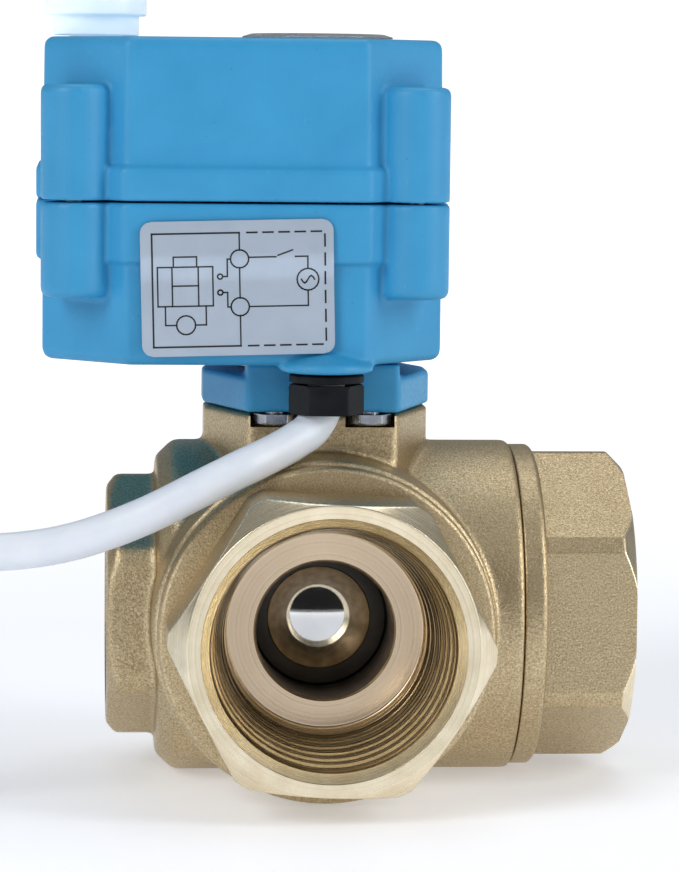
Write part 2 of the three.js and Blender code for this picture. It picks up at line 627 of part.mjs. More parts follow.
function indicatorWindow() {
  const lip = [[9.3, TOP - 1.8], [9.3, TOP + GAP], [10.9, TOP + GAP], [10.9, TOP + 0.5], [9.6, TOP + 0.9]];
  return turned([[0, TOP + 0.1], [8.6, TOP + 0.1], [8.6, TOP - 1.8], ...lip, [0, TOP + 1]], MEDIUM_ROUND);
}

function indicatorPointer() {
  const disc = rod(8, CEILING, CEILING + 0.7, MEDIUM_ROUND);
  const arrow = prism([[-1.2, -6.5], [1.2, -6.5], [1.2, 2], [3, 2], [0, 7], [-3, 2], [-1.2, 2]],
    CEILING + 0.5, CEILING + 1.2);
  return join(disc, arrow);
}

function overridePlug() {
  const low = TOP + 0.2 + GAP;
  const under = TOP + 3.3;
  const top = TOP + 6;
  const flange = [[6.25, under], [7, under], [7.4, under + 0.4], [7.4, top - 0.4], [7, top], [0, top]];
  return solid(geometryOf(turned([[0, 79.6], [3.9, 79.6], [3.9, low], [6.25, low], ...flange], MEDIUM_ROUND))
    .translate(...OVERRIDE_AT, 0));
}

function label() {
  const plate = new THREE.Shape();
  const [w, h, r] = [13.3, 9.3, 1.6];
  plate.moveTo(-w + r, -h).lineTo(w - r, -h).absarc(w - r, -h + r, r, -Math.PI / 2, 0)
    .lineTo(w, h - r).absarc(w - r, h - r, r, 0, Math.PI / 2)
    .lineTo(-w + r, h).absarc(-w + r, h - r, r, Math.PI / 2, Math.PI)
    .lineTo(-w, -h + r).absarc(-w + r, -h + r, r, Math.PI, 1.5 * Math.PI);
  const geometry = new THREE.ExtrudeGeometry(plate, { depth: 0.3, bevelEnabled: false, curveSegments: 4 });
  geometry.rotateZ(THREE.MathUtils.degToRad(1.5)).rotateX(Math.PI / 2);
  return solid(geometry.translate(-12.6, -BAND.d - GAP, 47.9));
}

// ---------- assembly ----------

add('valve_body', valveBody(), BRASS);
add('end_cap_right', endCap('right', 0, RIGHT_CHAMFER), BRASS);
add('end_cap_front', endCap('front', FRONT_CAP_TURN, FRONT_CHAMFER), BRASS);
for (const aim of ['right', 'front']) add(`cap_seal_${aim}`, torus(19.1, 0.75, 27.5, aim), RUBBER);
for (const aim of ['left', 'right', 'front', 'back']) add(`seat_${aim}`, seat(aim), PTFE);
add('ball', ball(), CHROME);
add('stem', stem(), BRASS);
add('stem_thrust_washer', ring(STEM_R + 0.5, STEM_FLANGE_R, 20.3, 21.2, MEDIUM_ROUND), PTFE);
add('stem_seal_lower', torus(3.75, 0.42, 23.85), RUBBER);
add('stem_seal_upper', torus(3.75, 0.42, 26.85), RUBBER);

add('mounting_base', mountingBase(), BLUE);
add('base_lock_nut', lockNut(), BRASS);
for (const [k, [x, y]] of BASE_SCREWS.entries()) {
  add(`base_screw_${k + 1}`, baseScrew(), STEEL).position.set(x, y, 28.1);
}

add('lower_housing', lowerHousing(), BLUE);
add('upper_housing', upperHousing(), BLUE);
add('housing_gasket', gasket(), RUBBER);
for (const [k, [x, y]] of TOWERS.entries()) {
  add(`housing_screw_${k + 1}`, panHeadScrew(SCREW_HEAD_R, 2, 1.3, 18.2), STEEL).position.set(x, y, 47.3);
}

add('output_gear', outputGear(), ACETAL);
add('compound_gear', compoundGear(), ACETAL);
add('compound_gear_pin', rodAt(...COMPOUND_AT, 1.2, 38.5, 54.4), STEEL);
add('motor_pinion', join(pinionOn(MOTOR_AT, MOTOR_BEARING), rodAt(...MOTOR_AT, 1, 52, 57)), STEEL);
add('override_spindle', overrideSpindle(), ACETAL);
add('gear_plate', gearPlate(), BLACK);
for (const [k, [x, y]] of PLATE_POSTS.entries()) {
  const screw = add(`plate_screw_${k + 1}`, panHeadScrew(2, 1.2, 0.9, 7.5), STEEL);
  screw.position.set(x, y, PLATE.high + GAP + 1.2);
  screw.rotation.x = Math.PI;
}
add('motor', cut(rodAt(...MOTOR_AT, MOTOR_R, PLATE.high + GAP, 76, MEDIUM_ROUND),
  rodAt(...MOTOR_AT, 1.3, 54, 58)), STEEL);
add('cam', cam(), RED);
add('limit_switch_front', limitSwitch(-1), BLACK);
add('limit_switch_back', limitSwitch(1), BLACK);
add('circuit_board', circuitBoard(), BOARD);
for (const [k, [x, y]] of [[-8, 15.5], [3.4, 13]].entries()) {
  add(`capacitor_${k + 1}`, rodAt(x, y, 4.5, BOARD_TOP + GAP, 77), BLACK);
}

add('indicator_pointer', indicatorPointer(), RED);
add('indicator_window', indicatorWindow(), CLEAR);
add('window_seal', ring(10, 10.6, TOP - 0.5, TOP, MEDIUM_ROUND), RUBBER);
add('override_plug', overridePlug(), NYLON);
add('label', label(), SILVER);

add('gland_body', glandBody(), BLACK);
const glandSeal = solid(geometryOf(ring(3.1, 3.8, 32.6, 34.1, MEDIUM_ROUND)).translate(0, GLAND_Y, 0));
add('gland_seal', glandSeal, RUBBER);
add('gland_nut', glandNut(), BLACK);
for (const [name, side, material] of [['core_red', -1, MAGENTA], ['core_black', 1, RUBBER]]) {
  const core = [[side, GLAND_Y + 0.2, 37.6], [side, -22.6, 39.4], [side, -21.2, 41.6], [side, -21.7, 45],
    [side, -22, 50], [side, -22, 56], [side, -21.9, BOARD_LOW - GAP]];
  add(name, tubeAlong(core, CORE_R, 8, 8), material);
}
add('cord', tubeAlong(CORD_POINTS, CORD_R, 8, 30), WHITE);
add('cord_coil', cordCoil(), WHITE);
add('lead_red', lead(-1), MAGENTA);
add('lead_black', lead(1), RUBBER);

// ---------- stand the model on its own underside, centred on the piece that carries no cord ----------

const CORD_NODES = ['cord', 'cord_coil', 'lead_red', 'lead_black'];
const bounds = new THREE.Box3();
for (const mesh of model.children) {
  if (CORD_NODES.includes(mesh.name)) continue;
  bounds.expandByObject(mesh);
}
const centre = bounds.getCenter(new THREE.Vector3());
model.position.set(-centre.x, -centre.y, -bounds.min.z);

const part = new THREE.Group();
part.add(model);

export default part;
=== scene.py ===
import math

import bmesh
import bpy
from mathutils import Matrix, Vector


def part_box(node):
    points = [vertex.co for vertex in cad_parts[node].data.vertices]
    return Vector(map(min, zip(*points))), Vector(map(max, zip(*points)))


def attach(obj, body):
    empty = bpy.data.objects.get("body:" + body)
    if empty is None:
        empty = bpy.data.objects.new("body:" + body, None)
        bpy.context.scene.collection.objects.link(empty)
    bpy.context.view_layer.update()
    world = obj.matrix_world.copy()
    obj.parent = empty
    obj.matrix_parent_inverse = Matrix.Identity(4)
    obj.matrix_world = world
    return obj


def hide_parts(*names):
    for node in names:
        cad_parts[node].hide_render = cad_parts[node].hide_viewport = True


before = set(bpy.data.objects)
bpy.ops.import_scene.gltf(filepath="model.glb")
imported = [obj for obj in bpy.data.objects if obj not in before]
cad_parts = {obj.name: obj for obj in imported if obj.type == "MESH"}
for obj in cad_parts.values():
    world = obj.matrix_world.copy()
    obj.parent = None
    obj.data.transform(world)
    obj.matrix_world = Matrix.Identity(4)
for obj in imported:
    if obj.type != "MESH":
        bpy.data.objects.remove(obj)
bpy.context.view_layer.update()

# A motorised three-way ball valve. Lengths are in millimetres from the ball's centre, with X along the
# in-line ports, -Y towards the third port and Z along the stem; to_frame() puts them in the row frame.

MM = 0.001
TAU = 2 * math.pi
BALL_R = 17.5
SHOULDER = 26.1  # from the ball's centre to the shoulder at the bottom of each cap's port
ball_low, ball_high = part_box("ball")
ORIGIN = Vector(((ball_low.x + ball_high.x) / 2, ball_low.y + BALL_R * MM, ball_low.z + BALL_R * MM))


def to_frame(point):
    return ORIGIN + Vector(point) * MM


# ---------- camera ----------

AZIMUTH, ELEVATION, ROLL = -4.43, 5.72, 0.6  # degrees
CAMERA_DISTANCE = 512.5
AIM_RIGHT, AIM_UP = 4.03, 24.56  # from the ball's centre to the middle of the picture
LENS = 143.9


def add_camera():
    a, e, roll = map(math.radians, (AZIMUTH, ELEVATION, ROLL))
    back = Vector((math.sin(a) * math.cos(e), -math.cos(a) * math.cos(e), math.sin(e)))
    level = Vector((math.cos(a), math.sin(a), 0))
    above = back.cross(level)
    right = level * math.cos(roll) + above * math.sin(roll)
    up = above * math.cos(roll) - level * math.sin(roll)
    camera = bpy.data.objects.new("camera", bpy.data.cameras.new("camera"))
    place = to_frame(back * CAMERA_DISTANCE + right * AIM_RIGHT + up * AIM_UP)
    turn = Matrix((right, up, back)).transposed().to_4x4()
    camera.matrix_world = Matrix.Translation(place) @ turn
    camera.data.lens = LENS
    camera.data.sensor_width = 36
    camera.data.clip_start, camera.data.clip_end = 0.01, 50
    bpy.context.collection.objects.link(camera)
    bpy.context.scene.camera = camera


add_camera()

# ---------- cord ----------

CORD_R = 2.6
CORE_R = 0.8
BODY_R = 24.1
FLOOR_Z = -BODY_R
LAY_Z = FLOOR_Z + CORD_R + 0.06  # the middle of the cord where it lies on the floor
GLAND_Y = -24.4
COIL = (-110, -3.3)
COIL_START_R = 32
COIL_TURNS = 1.75
TURN_POINTS = 16

CORD_POINTS = [
    (0, GLAND_Y, 37), (0, GLAND_Y, 34.6), (-0.15, -24.45, 32.3), (-0.8, -24.75, 30.2),
    (-2.2, -25.6, 28.2), (-4.4, -27.2, 26.8), (-6.9, -29.3, 25.6), (-9.7, -31.6, 24.5),
    (-12.5, -33.4, 23.4), (-15.3, -34.2, 22.1), (-18.1, -35, 20.8), (-20.8, -35.3, 19.45),
    (-23.5, -35.4, 18.1), (-26.4, -35.4, 16.8), (-30.2, -35.4, 15.3), (-36.1, -35.4, 13.5),
    (-42.1, -35.3, 12.5), (-46, -35.3, 12.2), (-51.9, -35.3, 11.4), (-57.4, -35.3, 9.2),
    (-62.1, -35.3, 5.5), (-65.7, -35.3, 0.8), (-68, -35.3, -4.7), (-70.3, -35.3, -10.1),
    (-73.9, -35.3, -14.8), (-78.6, -35.3, -18.5), (-84.1, -35.3, -20.7), (-89, -35.3, LAY_Z),
    (-92, -35.3, LAY_Z), (-98, -35.3, LAY_Z), (-104, -35.3, LAY_Z),
]


def coil_points():
    """The coil's turns on the floor, clockwise from its front, each a diameter inside the last."""
    points = []
    for k in range(round(COIL_TURNS * TURN_POINTS) + 1):
        turn = k / TURN_POINTS
        r = COIL_START_R - 2 * CORD_R * turn
        angle = -TAU * (0.25 + turn)
        points.append((COIL[0] + r * math.cos(angle), COIL[1] + r * math.sin(angle), LAY_Z))
    return points


def wire(name, points, radius, material=None):
    """A round cable along points, as a curve of one open spline."""
    curve = bpy.data.curves.new(name, "CURVE")
    curve.dimensions = "3D"
    curve.bevel_depth = radius * MM
    curve.bevel_resolution = 7
    curve.resolution_u = 10
    curve.use_fill_caps = True
    spline = curve.splines.new("BEZIER")
    spline.bezier_points.add(len(points) - 1)
    for knot, point in zip(spline.bezier_points, points):
        knot.co = to_frame(point)
        knot.handle_left_type = knot.handle_right_type = "AUTO"
    if material:
        curve.materials.append(material)
    obj = bpy.data.objects.new(name, curve)
    bpy.context.collection.objects.link(obj)
    return obj


# ---------- stage and light ----------


def emission(name, colour, strength):
    made = bpy.data.materials.new(name)
    made.use_nodes = True
    nodes, links = made.node_tree.nodes, made.node_tree.links
    nodes.clear()
    glow = nodes.new("ShaderNodeEmission")
    glow.inputs["Color"].default_value = (*colour, 1)
    glow.inputs["Strength"].default_value = strength
    links.new(glow.outputs[0], nodes.new("ShaderNodeOutputMaterial").inputs[0])
    return made


def card(name, centre, size, turn, material):
    """A flat stage card that shows in reflections, and that no camera sees."""
    w, h = size[0] / 2, size[1] / 2
    mesh = bpy.data.meshes.new(name)
    mesh.from_pydata([(-w, -h, 0), (w, -h, 0), (w, h, 0), (-w, h, 0)], [], [(0, 1, 2, 3)])
    mesh.materials.append(material)
    obj = bpy.data.objects.new(name, mesh)
    obj.location = centre
    obj.rotation_euler = [math.radians(t) for t in turn]
    obj.visible_camera = False
    bpy.context.collection.objects.link(obj)


def area_light(name, place, size, power, colour=(1, 1, 1)):
    data = bpy.data.lights.new(name, "AREA")
    data.shape = "RECTANGLE"
    data.size, data.size_y = size
    data.energy = power
    data.color = colour
    obj = bpy.data.objects.new(name, data)
    obj.location = place
    obj.rotation_euler = (to_frame((0, 0, 30)) - Vector(place)).to_track_quat("-Z", "Y").to_euler()
    bpy.context.collection.objects.link(obj)


def add_stage():
    floor = bpy.data.meshes.new("floor")
    side = 6
    corners = [(-side, -side, 0), (side, -side, 0), (side, side, 0), (-side, side, 0)]
    floor.from_pydata(corners, [], [(0, 1, 2, 3)])
    paper = bpy.data.materials.new("paper")
    paper.use_nodes = True
    nodes, links = paper.node_tree.nodes, paper.node_tree.links
    shader = nodes["Principled BSDF"]
    shader.inputs["Base Color"].default_value = (0.86, 0.89, 0.96, 1)
    shader.inputs["Roughness"].default_value = 0.5
    shader.inputs["Emission Color"].default_value = (1, 1, 1, 1)
    place = nodes.new("ShaderNodeTexCoord")
    distance = nodes.new("ShaderNodeVectorMath")
    distance.operation = "LENGTH"
    far = nodes.new("ShaderNodeMapRange")
    for socket, value in {"From Min": 0.15, "From Max": 1.0, "To Min": 0.34, "To Max": 0.97}.items():
        far.inputs[socket].default_value = value
    links.new(place.outputs["Object"], distance.inputs[0])
    links.new(distance.outputs["Value"], far.inputs["Value"])
    seen = nodes.new("ShaderNodeLightPath")
    share = nodes.new("ShaderNodeMapRange")
    share.inputs["To Min"].default_value = 0.85
    glow = nodes.new("ShaderNodeMath")
    glow.operation = "MULTIPLY"
    links.new(seen.outputs["Is Camera Ray"], share.inputs["Value"])
    links.new(far.outputs[0], glow.inputs[0])
    links.new(share.outputs[0], glow.inputs[1])
    links.new(glow.outputs[0], shader.inputs["Emission Strength"])
    floor.materials.append(paper)
    obj = bpy.data.objects.new("floor", floor)
    bpy.context.collection.objects.link(obj)

    card("dark_card", (0, -1.0, 0.36), (1.1, 0.6), (90, 0, 0), emission("dark_cloth", (0.02, 0.02, 0.02), 1))
    area_light("key", (-0.85, -0.8, 0.75), (0.5, 0.8), 8)
    area_light("fill", (0.95, -0.45, 0.55), (0.4, 0.9), 6)
    area_light("top", (0.1, 0.35, 1.2), (1.0, 0.6), 3.2)

    world = bpy.data.worlds.new("studio")
    bpy.context.scene.world = world
    world.use_nodes = True
    nodes, links = world.node_tree.nodes, world.node_tree.links
    nodes.clear()
    path = nodes.new("ShaderNodeLightPath")
    soft = nodes.new("ShaderNodeBackground")
    soft.inputs["Color"].default_value = (0.96, 0.98, 1, 1)
    soft.inputs["Strength"].default_value = 0.26
    white = nodes.new("ShaderNodeBackground")
    white.inputs["Strength"].default_value = 1.1
    white.inputs["Color"].default_value = (1, 1, 1, 1)
    mix = nodes.new("ShaderNodeMixShader")
    links.new(path.outputs["Is Camera Ray"], mix.inputs[0])
    links.new(soft.outputs[0], mix.inputs[1])
    links.new(white.outputs[0], mix.inputs[2])
    links.new(mix.outputs[0], nodes.new("ShaderNodeOutputWorld").inputs[0])
    bpy.context.scene.view_settings.view_transform = "Standard"


add_stage()

# ---------- materials ----------


class Finish:
    """A Principled material whose colour, roughness and relief come from noise in the object's own space."""

    def __init__(self, name, **sockets):
        self.material = bpy.data.materials.new(name)
        self.material.use_nodes = True
        self.tree = self.material.node_tree
        self.shader = self.tree.nodes["Principled BSDF"]
        for socket, value in sockets.items():
            self.shader.inputs[socket.replace("_", " ")].default_value = value
        self.place = self.tree.nodes.new("ShaderNodeTexCoord").outputs["Object"]
        self.relief = None

    def node(self, kind, inputs=(), **settings):
        made = self.tree.nodes.new(kind)
        for key, value in settings.items():
            setattr(made, key, value)
        for key, value in dict(inputs).items():
            if isinstance(value, bpy.types.NodeSocket):
                self.tree.links.new(value, made.inputs[key])
            else:
                made.inputs[key].default_value = value
        return made

    def noise(self, size, detail=2, rough=0.5, stretch=None):
        """Noise whose features are size millimetres across."""
        place = self.place
        if stretch:
            place = self.node("ShaderNodeMapping", {"Vector": place, "Scale": stretch}).outputs[0]
        return self.node("ShaderNodeTexNoise", {
            "Vector": place, "Scale": 1 / (size * MM), "Detail": detail, "Roughness": rough}).outputs["Fac"]

    def cells(self, size, feature="DISTANCE_TO_EDGE"):
        return self.node("ShaderNodeTexVoronoi", {"Vector": self.place, "Scale": 1 / (size * MM)},
                         feature=feature).outputs["Distance"]

    def ramp(self, value, low, high, start=0.0, end=1.0):
        """The value, stretched so that low gives start and high gives end."""
        return self.node("ShaderNodeMapRange", {
            "Value": value, "From Min": low, "From Max": high, "To Min": start, "To Max": end}).outputs[0]

    def colours(self, value, first, second):
        mix = self.node("ShaderNodeMix", data_type="RGBA")
        self.tree.links.new(value, mix.inputs["Factor"])
        mix.inputs[6].default_value = (*first, 1)
        mix.inputs[7].default_value = (*second, 1)
        return mix.outputs[2]

    def over(self, value, colour, under):
        """A colour laid over another where value is 1."""
        mix = self.node("ShaderNodeMix", data_type="RGBA")
        self.tree.links.new(value, mix.inputs["Factor"])
        self.tree.links.new(under, mix.inputs[6])
        mix.inputs[7].default_value = (*colour, 1)
        return mix.outputs[2]

    def set(self, socket, value):
        self.tree.links.new(value, self.shader.inputs[socket])
        return self

    def bump(self, value, depth):
        """Relief depth millimetres deep, on top of what is there."""
        inputs = {"Height": value, "Distance": depth * MM, "Strength": 1.0}
        if self.relief:
            inputs["Normal"] = self.relief
        self.relief = self.node("ShaderNodeBump", inputs).outputs[0]
        return self.set("Normal", self.relief)


def plain(name, first, second, roughness, patch=3, grain=0.3, depth=0.01, **sockets):
    """A moulded, drawn or cut material: two tones in soft patches, and a fine grain."""
    made = Finish(name, **sockets)
    patches = made.noise(patch, detail=3)
    made.set("Base Color", made.colours(made.ramp(patches, 0.3, 0.7), first, second))
    smaller = made.noise(patch / 2, detail=4)
    made.set("Roughness", made.ramp(smaller, 0.3, 0.7, roughness - 0.06, roughness + 0.06))
    made.bump(made.noise(grain, detail=2), depth)
    return made.material


def cast_brass():
    """Sand-cast brass: a dull grainy skin, with darker pits and brighter rubbed grains."""
    made = Finish("cast_brass", Metallic=1)
    grain = made.noise(0.26, detail=3, rough=0.6)
    broad = made.noise(7, detail=3)
    base = made.colours(made.ramp(grain, 0.32, 0.68), (0.37, 0.285, 0.155), (0.74, 0.60, 0.385))
    base = made.over(made.ramp(broad, 0.55, 0.8, 0, 0.35), (0.45, 0.35, 0.195), base)
    made.set("Base Color", base)
    made.set("Roughness", made.ramp(grain, 0.3, 0.7, 0.50, 0.28))
    made.bump(made.noise(0.3, detail=3, rough=0.65), 0.09)
    made.bump(made.noise(1.5, detail=2), 0.06)
    return made.material


def machined_brass(axis):
    """Turned brass: bright, with tool rings round its axis, a few stains and painted shade that darkens the
    step at the bottom of each port.
    """
    made = Finish(f"machined_brass_{axis.lower()}", Metallic=1, Anisotropic=0.6)
    along = [1.0 if letter == axis else 0.0 for letter in "XYZ"]
    centred = {0: made.place, 1: ORIGIN}
    from_axis = made.node("ShaderNodeVectorMath", centred, operation="SUBTRACT").outputs[0]
    off_axis = {0: from_axis, 1: [1 - a for a in along]}
    across = made.node("ShaderNodeVectorMath", off_axis, operation="MULTIPLY")
    radius = made.node("ShaderNodeVectorMath", {0: across.outputs[0]}, operation="LENGTH").outputs["Value"]
    on_axis = {0: from_axis, 1: along}
    height = made.node("ShaderNodeVectorMath", on_axis, operation="DOT_PRODUCT").outputs["Value"]
    rings = made.node("ShaderNodeCombineXYZ", {0: radius, 1: height}).outputs[0]
    lathe = {"Vector": rings, "Scale": 1 / (0.3 * MM), "Detail": 3}
    marks = made.node("ShaderNodeTexNoise", lathe).outputs["Fac"]
    stains = made.noise(4, detail=4)
    base = made.colours(made.ramp(stains, 0.35, 0.65), (0.80, 0.69, 0.48), (0.92, 0.81, 0.60))
    depth = made.node("ShaderNodeMath", {0: height}, operation="ABSOLUTE").outputs[0]
    # painted shade: the base colour turns darker towards the step at the bottom of the port, where shade
    # falls
    port_step_painted_shade = made.ramp(depth, (SHOULDER + 1.5) * MM, (SHOULDER + 0.3) * MM, 0, 0.85)
    base = made.over(port_step_painted_shade, (0.58, 0.44, 0.31), base)
    made.set("Base Color", made.over(made.ramp(marks, 0.6, 0.75, 0, 0.5), (0.52, 0.43, 0.28), base))
    made.set("Roughness", made.ramp(marks, 0.3, 0.7, 0.18, 0.32))
    made.bump(marks, 0.006)
    tangent = made.node("ShaderNodeTangent", direction_type="RADIAL", axis=axis)
    return made.set("Tangent", tangent.outputs[0]).material


def chrome():
    made = Finish("chrome_ball", Metallic=1)
    cloud = made.ramp(made.noise(5), 0.3, 0.7)
    made.set("Base Color", made.colours(cloud, (0.64, 0.64, 0.64), (0.72, 0.72, 0.72)))
    scratches = made.noise(0.5, detail=2, stretch=(1, 14, 3))
    made.set("Roughness", made.ramp(scratches, 0.4, 0.75, 0.03, 0.12))
    made.bump(scratches, 0.0006)
    return made.material


def blue_housing():
    """Satin blue ABS: a fine moulded grain with small pale rubs and dark specks."""
    made = Finish("blue_housing")
    made.shader.inputs["Specular IOR Level"].default_value = 0.45
    tone = made.noise(9, detail=3)
    base = made.colours(made.ramp(tone, 0.3, 0.7), (0.031, 0.288, 0.555), (0.040, 0.322, 0.605))
    rubs = made.ramp(made.noise(0.8, detail=4, rough=0.7, stretch=(1, 1, 0.35)), 0.66, 0.78, 0, 0.4)
    base = made.over(rubs, (0.20, 0.50, 0.76), base)
    specks = made.ramp(made.cells(3.1, "F1"), 0.05, 0.035, 0, 0.5)
    base = made.over(specks, (0.02, 0.16, 0.33), base)
    made.set("Base Color", base)
    made.set("Roughness", made.ramp(made.noise(0.6, detail=3), 0.3, 0.7, 0.38, 0.54))
    made.bump(made.noise(0.34, detail=3), 0.028)
    made.bump(made.noise(5, detail=1), 0.03)
    return made.material


def label_foil():
    made = Finish("label_foil", Metallic=0.55)
    cloud = made.ramp(made.noise(6), 0.3, 0.7)
    made.set("Base Color", made.colours(cloud, (0.43, 0.51, 0.61), (0.48, 0.56, 0.66)))
    made.set("Roughness", made.ramp(made.noise(0.5, detail=3), 0.3, 0.7, 0.3, 0.42))
    made.bump(made.noise(0.35), 0.004)
    return made.material


def circuit_green():
    made = Finish("circuit_board")
    tracks = made.ramp(made.cells(2.4), 0.02, 0.06)
    made.set("Base Color", made.colours(tracks, (0.30, 0.42, 0.16), (0.02, 0.13, 0.05)))
    made.set("Roughness", made.ramp(made.noise(1), 0.3, 0.7, 0.3, 0.45))
    made.bump(made.cells(2.4), 0.02)
    return made.material


CAST = cast_brass()
TURNED = {axis: machined_brass(axis) for axis in "XYZ"}
CHROME = chrome()
BLUE = blue_housing()
FOIL = label_foil()
BOARD = circuit_green()
PTFE = plain("filled_ptfe", (0.05, 0.042, 0.035), (0.08, 0.07, 0.06), 0.45)
RUBBER = plain("rubber", (0.012, 0.012, 0.013), (0.03, 0.03, 0.032), 0.7)
STEEL = plain("steel", (0.26, 0.28, 0.32), (0.38, 0.40, 0.44), 0.28, patch=1.5, Metallic=1)
MOTOR_STEEL = plain("motor_steel", (0.42, 0.43, 0.45), (0.56, 0.57, 0.58), 0.38, patch=4, Metallic=1)
ACETAL = plain("acetal", (0.75, 0.72, 0.62), (0.82, 0.79, 0.70), 0.4)
BLACK = plain("black_nylon", (0.006, 0.007, 0.009), (0.012, 0.014, 0.017), 0.52, grain=0.4, depth=0.015,
              Specular_IOR_Level=0.12)
# painted shade: dark brass for the narrow bore beside the ball, which lies in shade
BORE_PAINTED_SHADE = plain("bore_brass_painted_shade", (0.16, 0.11, 0.06), (0.27, 0.19, 0.11), 0.36, patch=2, Metallic=1)
PLATE = plain("black_plate", (0.015, 0.015, 0.017), (0.03, 0.03, 0.034), 0.5)
RED = plain("signal_red", (0.45, 0.02, 0.02), (0.56, 0.035, 0.03), 0.4)
PVC_WHITE = plain("white_pvc", (0.76, 0.82, 0.90), (0.82, 0.87, 0.94), 0.36, patch=5, grain=0.5,
                  depth=0.006, Subsurface_Weight=0.15, Subsurface_Scale=0.002)
PVC_RED = plain("red_pvc", (0.50, 0.03, 0.03), (0.62, 0.05, 0.04), 0.38)
PVC_BLACK = plain("black_pvc", (0.015, 0.015, 0.017), (0.03, 0.03, 0.033), 0.4)
# the plug's weak glow stands for the light that passes through it
MILKY = plain("milky_nylon", (0.78, 0.90, 0.98), (0.84, 0.94, 0.99), 0.34, patch=4, grain=0.4, depth=0.01,
              Subsurface_Weight=0.15, Subsurface_Scale=0.001,
              Emission_Color=(0.82, 0.93, 1, 1), Emission_Strength=0.27)
CLEAR = plain("clear_window", (0.86, 0.93, 0.97), (0.90, 0.95, 0.98), 0.08, Transmission_Weight=0.85)
INK = plain("ink", (0.006, 0.006, 0.008), (0.012, 0.012, 0.014), 0.45)

# ---------- shapes: each is a list of corners and a list of faces ----------

AIM = {
    "z": lambda x, y, z: (x, y, z),
    "right": lambda x, y, z: (z, y, -x),
    "left": lambda x, y, z: (-z, y, x),
    "front": lambda x, y, z: (x, -z, y),
    "back": lambda x, y, z: (x, z, -y),
}
SIDES = 192


def rounded(corners, closed=True, step=12):
    """The corners as an outline whose corners with a third number are arcs of that radius."""
    points = []
    for k, (x, y, *radius) in enumerate(corners):
        here = Vector((x, y))
        if not radius or (not closed and k in (0, len(corners) - 1)):
            points.append((x, y))
            continue
        before = (Vector(corners[k - 1][:2]) - here).normalized()
        after = (Vector(corners[(k + 1) % len(corners)][:2]) - here).normalized()
        half = before.angle(after) / 2
        centre = here + (before + after).normalized() * radius[0] / math.sin(half)
        reach = radius[0] / math.tan(half)
        start, end = here + before * reach - centre, here + after * reach - centre
        sweep = start.angle(end)
        count = max(2, math.ceil(math.degrees(sweep) / step))
        for i in range(count + 1):
            t = i / count
            arm = (start * math.sin((1 - t) * sweep) + end * math.sin(t * sweep)) / math.sin(sweep)
            points.append(tuple(centre + arm))
    return points


def finer(points, step, closed=True):
    """The same outline with no stretch longer than step."""
    made = []
    ends = points[1:] + (points[:1] if closed else [])
    for (x0, y0), (x1, y1) in zip(points, ends):
        count = max(1, math.ceil(math.hypot(x1 - x0, y1 - y0) / step))
        made += [(x0 + (x1 - x0) * k / count, y0 + (y1 - y0) * k / count) for k in range(count)]
    return made if closed else made + [points[-1]]


def turned(path, aim="z", at=(0, 0, 0), sides=SIDES, shape=None):
    """A turned solid: path is (radius, height) pairs from axis to axis, or closed on itself. shape, where
    it is given, changes a radius by its angle, radius and height."""
    corners, faces, rings = [], [], []
    for r, h in path:
        first = len(corners)
        if r < 1e-6:
            corners.append((0, 0, h))
        else:
            for k in range(sides):
                angle = TAU * k / sides
                reach = shape(angle, r, h) if shape else r
                corners.append((reach * math.cos(angle), reach * math.sin(angle), h))
        rings.append(range(first, len(corners)))
    pairs = list(zip(rings, rings[1:]))
    if path[0][0] >= 1e-6:
        pairs.append((rings[-1], rings[0]))
    for low, high in pairs:
        for k in range(sides):
            a, b = low[k % len(low)], low[(k + 1) % len(low)]
            c, d = high[(k + 1) % len(high)], high[k % len(high)]
            face = list(dict.fromkeys((a, b, c, d)))
            if len(face) > 2:
                faces.append(face)
    return moved((corners, faces), aim, at)


def moved(shape, aim="z", at=(0, 0, 0)):
    corners, faces = shape
    turn = AIM[aim]
    return [tuple(c + d for c, d in zip(turn(*corner), at)) for corner in corners], faces


def inset(outline, by):
    """A closed outline, moved in by a distance all round."""
    made = []
    for k, point in enumerate(outline):
        here = Vector(point)
        before = (here - Vector(outline[k - 1])).normalized()
        after = (Vector(outline[(k + 1) % len(outline)]) - here).normalized()
        along = (before + after).normalized()
        inward = Vector((-along.y, along.x))
        made.append(tuple(here + inward * by / max(0.3, along.dot(before))))
    return made


def lofted(outline, levels, aim="z", at=(0, 0, 0)):
    """A solid over an anticlockwise outline: levels are (height, how far the outline is moved in) pairs."""
    corners, faces = [], []
    n = len(outline)
    for height, by in levels:
        corners += [(x, y, height) for x, y in (inset(outline, by) if by else outline)]
    for level in range(len(levels) - 1):
        for k in range(n):
            a, b = level * n + k, level * n + (k + 1) % n
            faces.append((a, b, b + n, a + n))
    faces.append(tuple(reversed(range(n))))
    faces.append(tuple(range(len(corners) - n, len(corners))))
    return moved((corners, faces), aim, at)


def edged(low, high, foot, head, draft=0.0):
    """Levels from low to high with rounded edges of radius foot and head."""
    quarter = [math.radians(t) for t in (0, 22.5, 45, 67.5, 90)]
    levels, top = [(low, 0)], [(high, draft)]
    if foot:
        levels = [(low + foot * (1 - math.sin(t)), foot * (1 - math.cos(t))) for t in reversed(quarter)]
    if head:
        top = [(high - head * (1 - math.sin(t)), draft + head * (1 - math.cos(t))) for t in quarter]
    return levels + top


def hexed(across, corner_r, turn=0.0, ease=0.35, start=-1000):
    """A radius limit that leaves six flats on a turned piece above start, with softened edges."""
    def limit(angle, r, height):
        if height < start:
            return r
        sector = (angle - math.radians(turn)) % (TAU / 6) - TAU / 12
        flat = across / 2 / math.cos(sector)
        if r < across / 2 - ease:
            return r
        low, high = min(r, flat), max(r, flat)
        gap = high - low
        soft = low - (ease - gap) ** 2 / (4 * ease) if gap < ease else low
        return min(soft, corner_r)
    return limit


HOUSING_X = -11.3


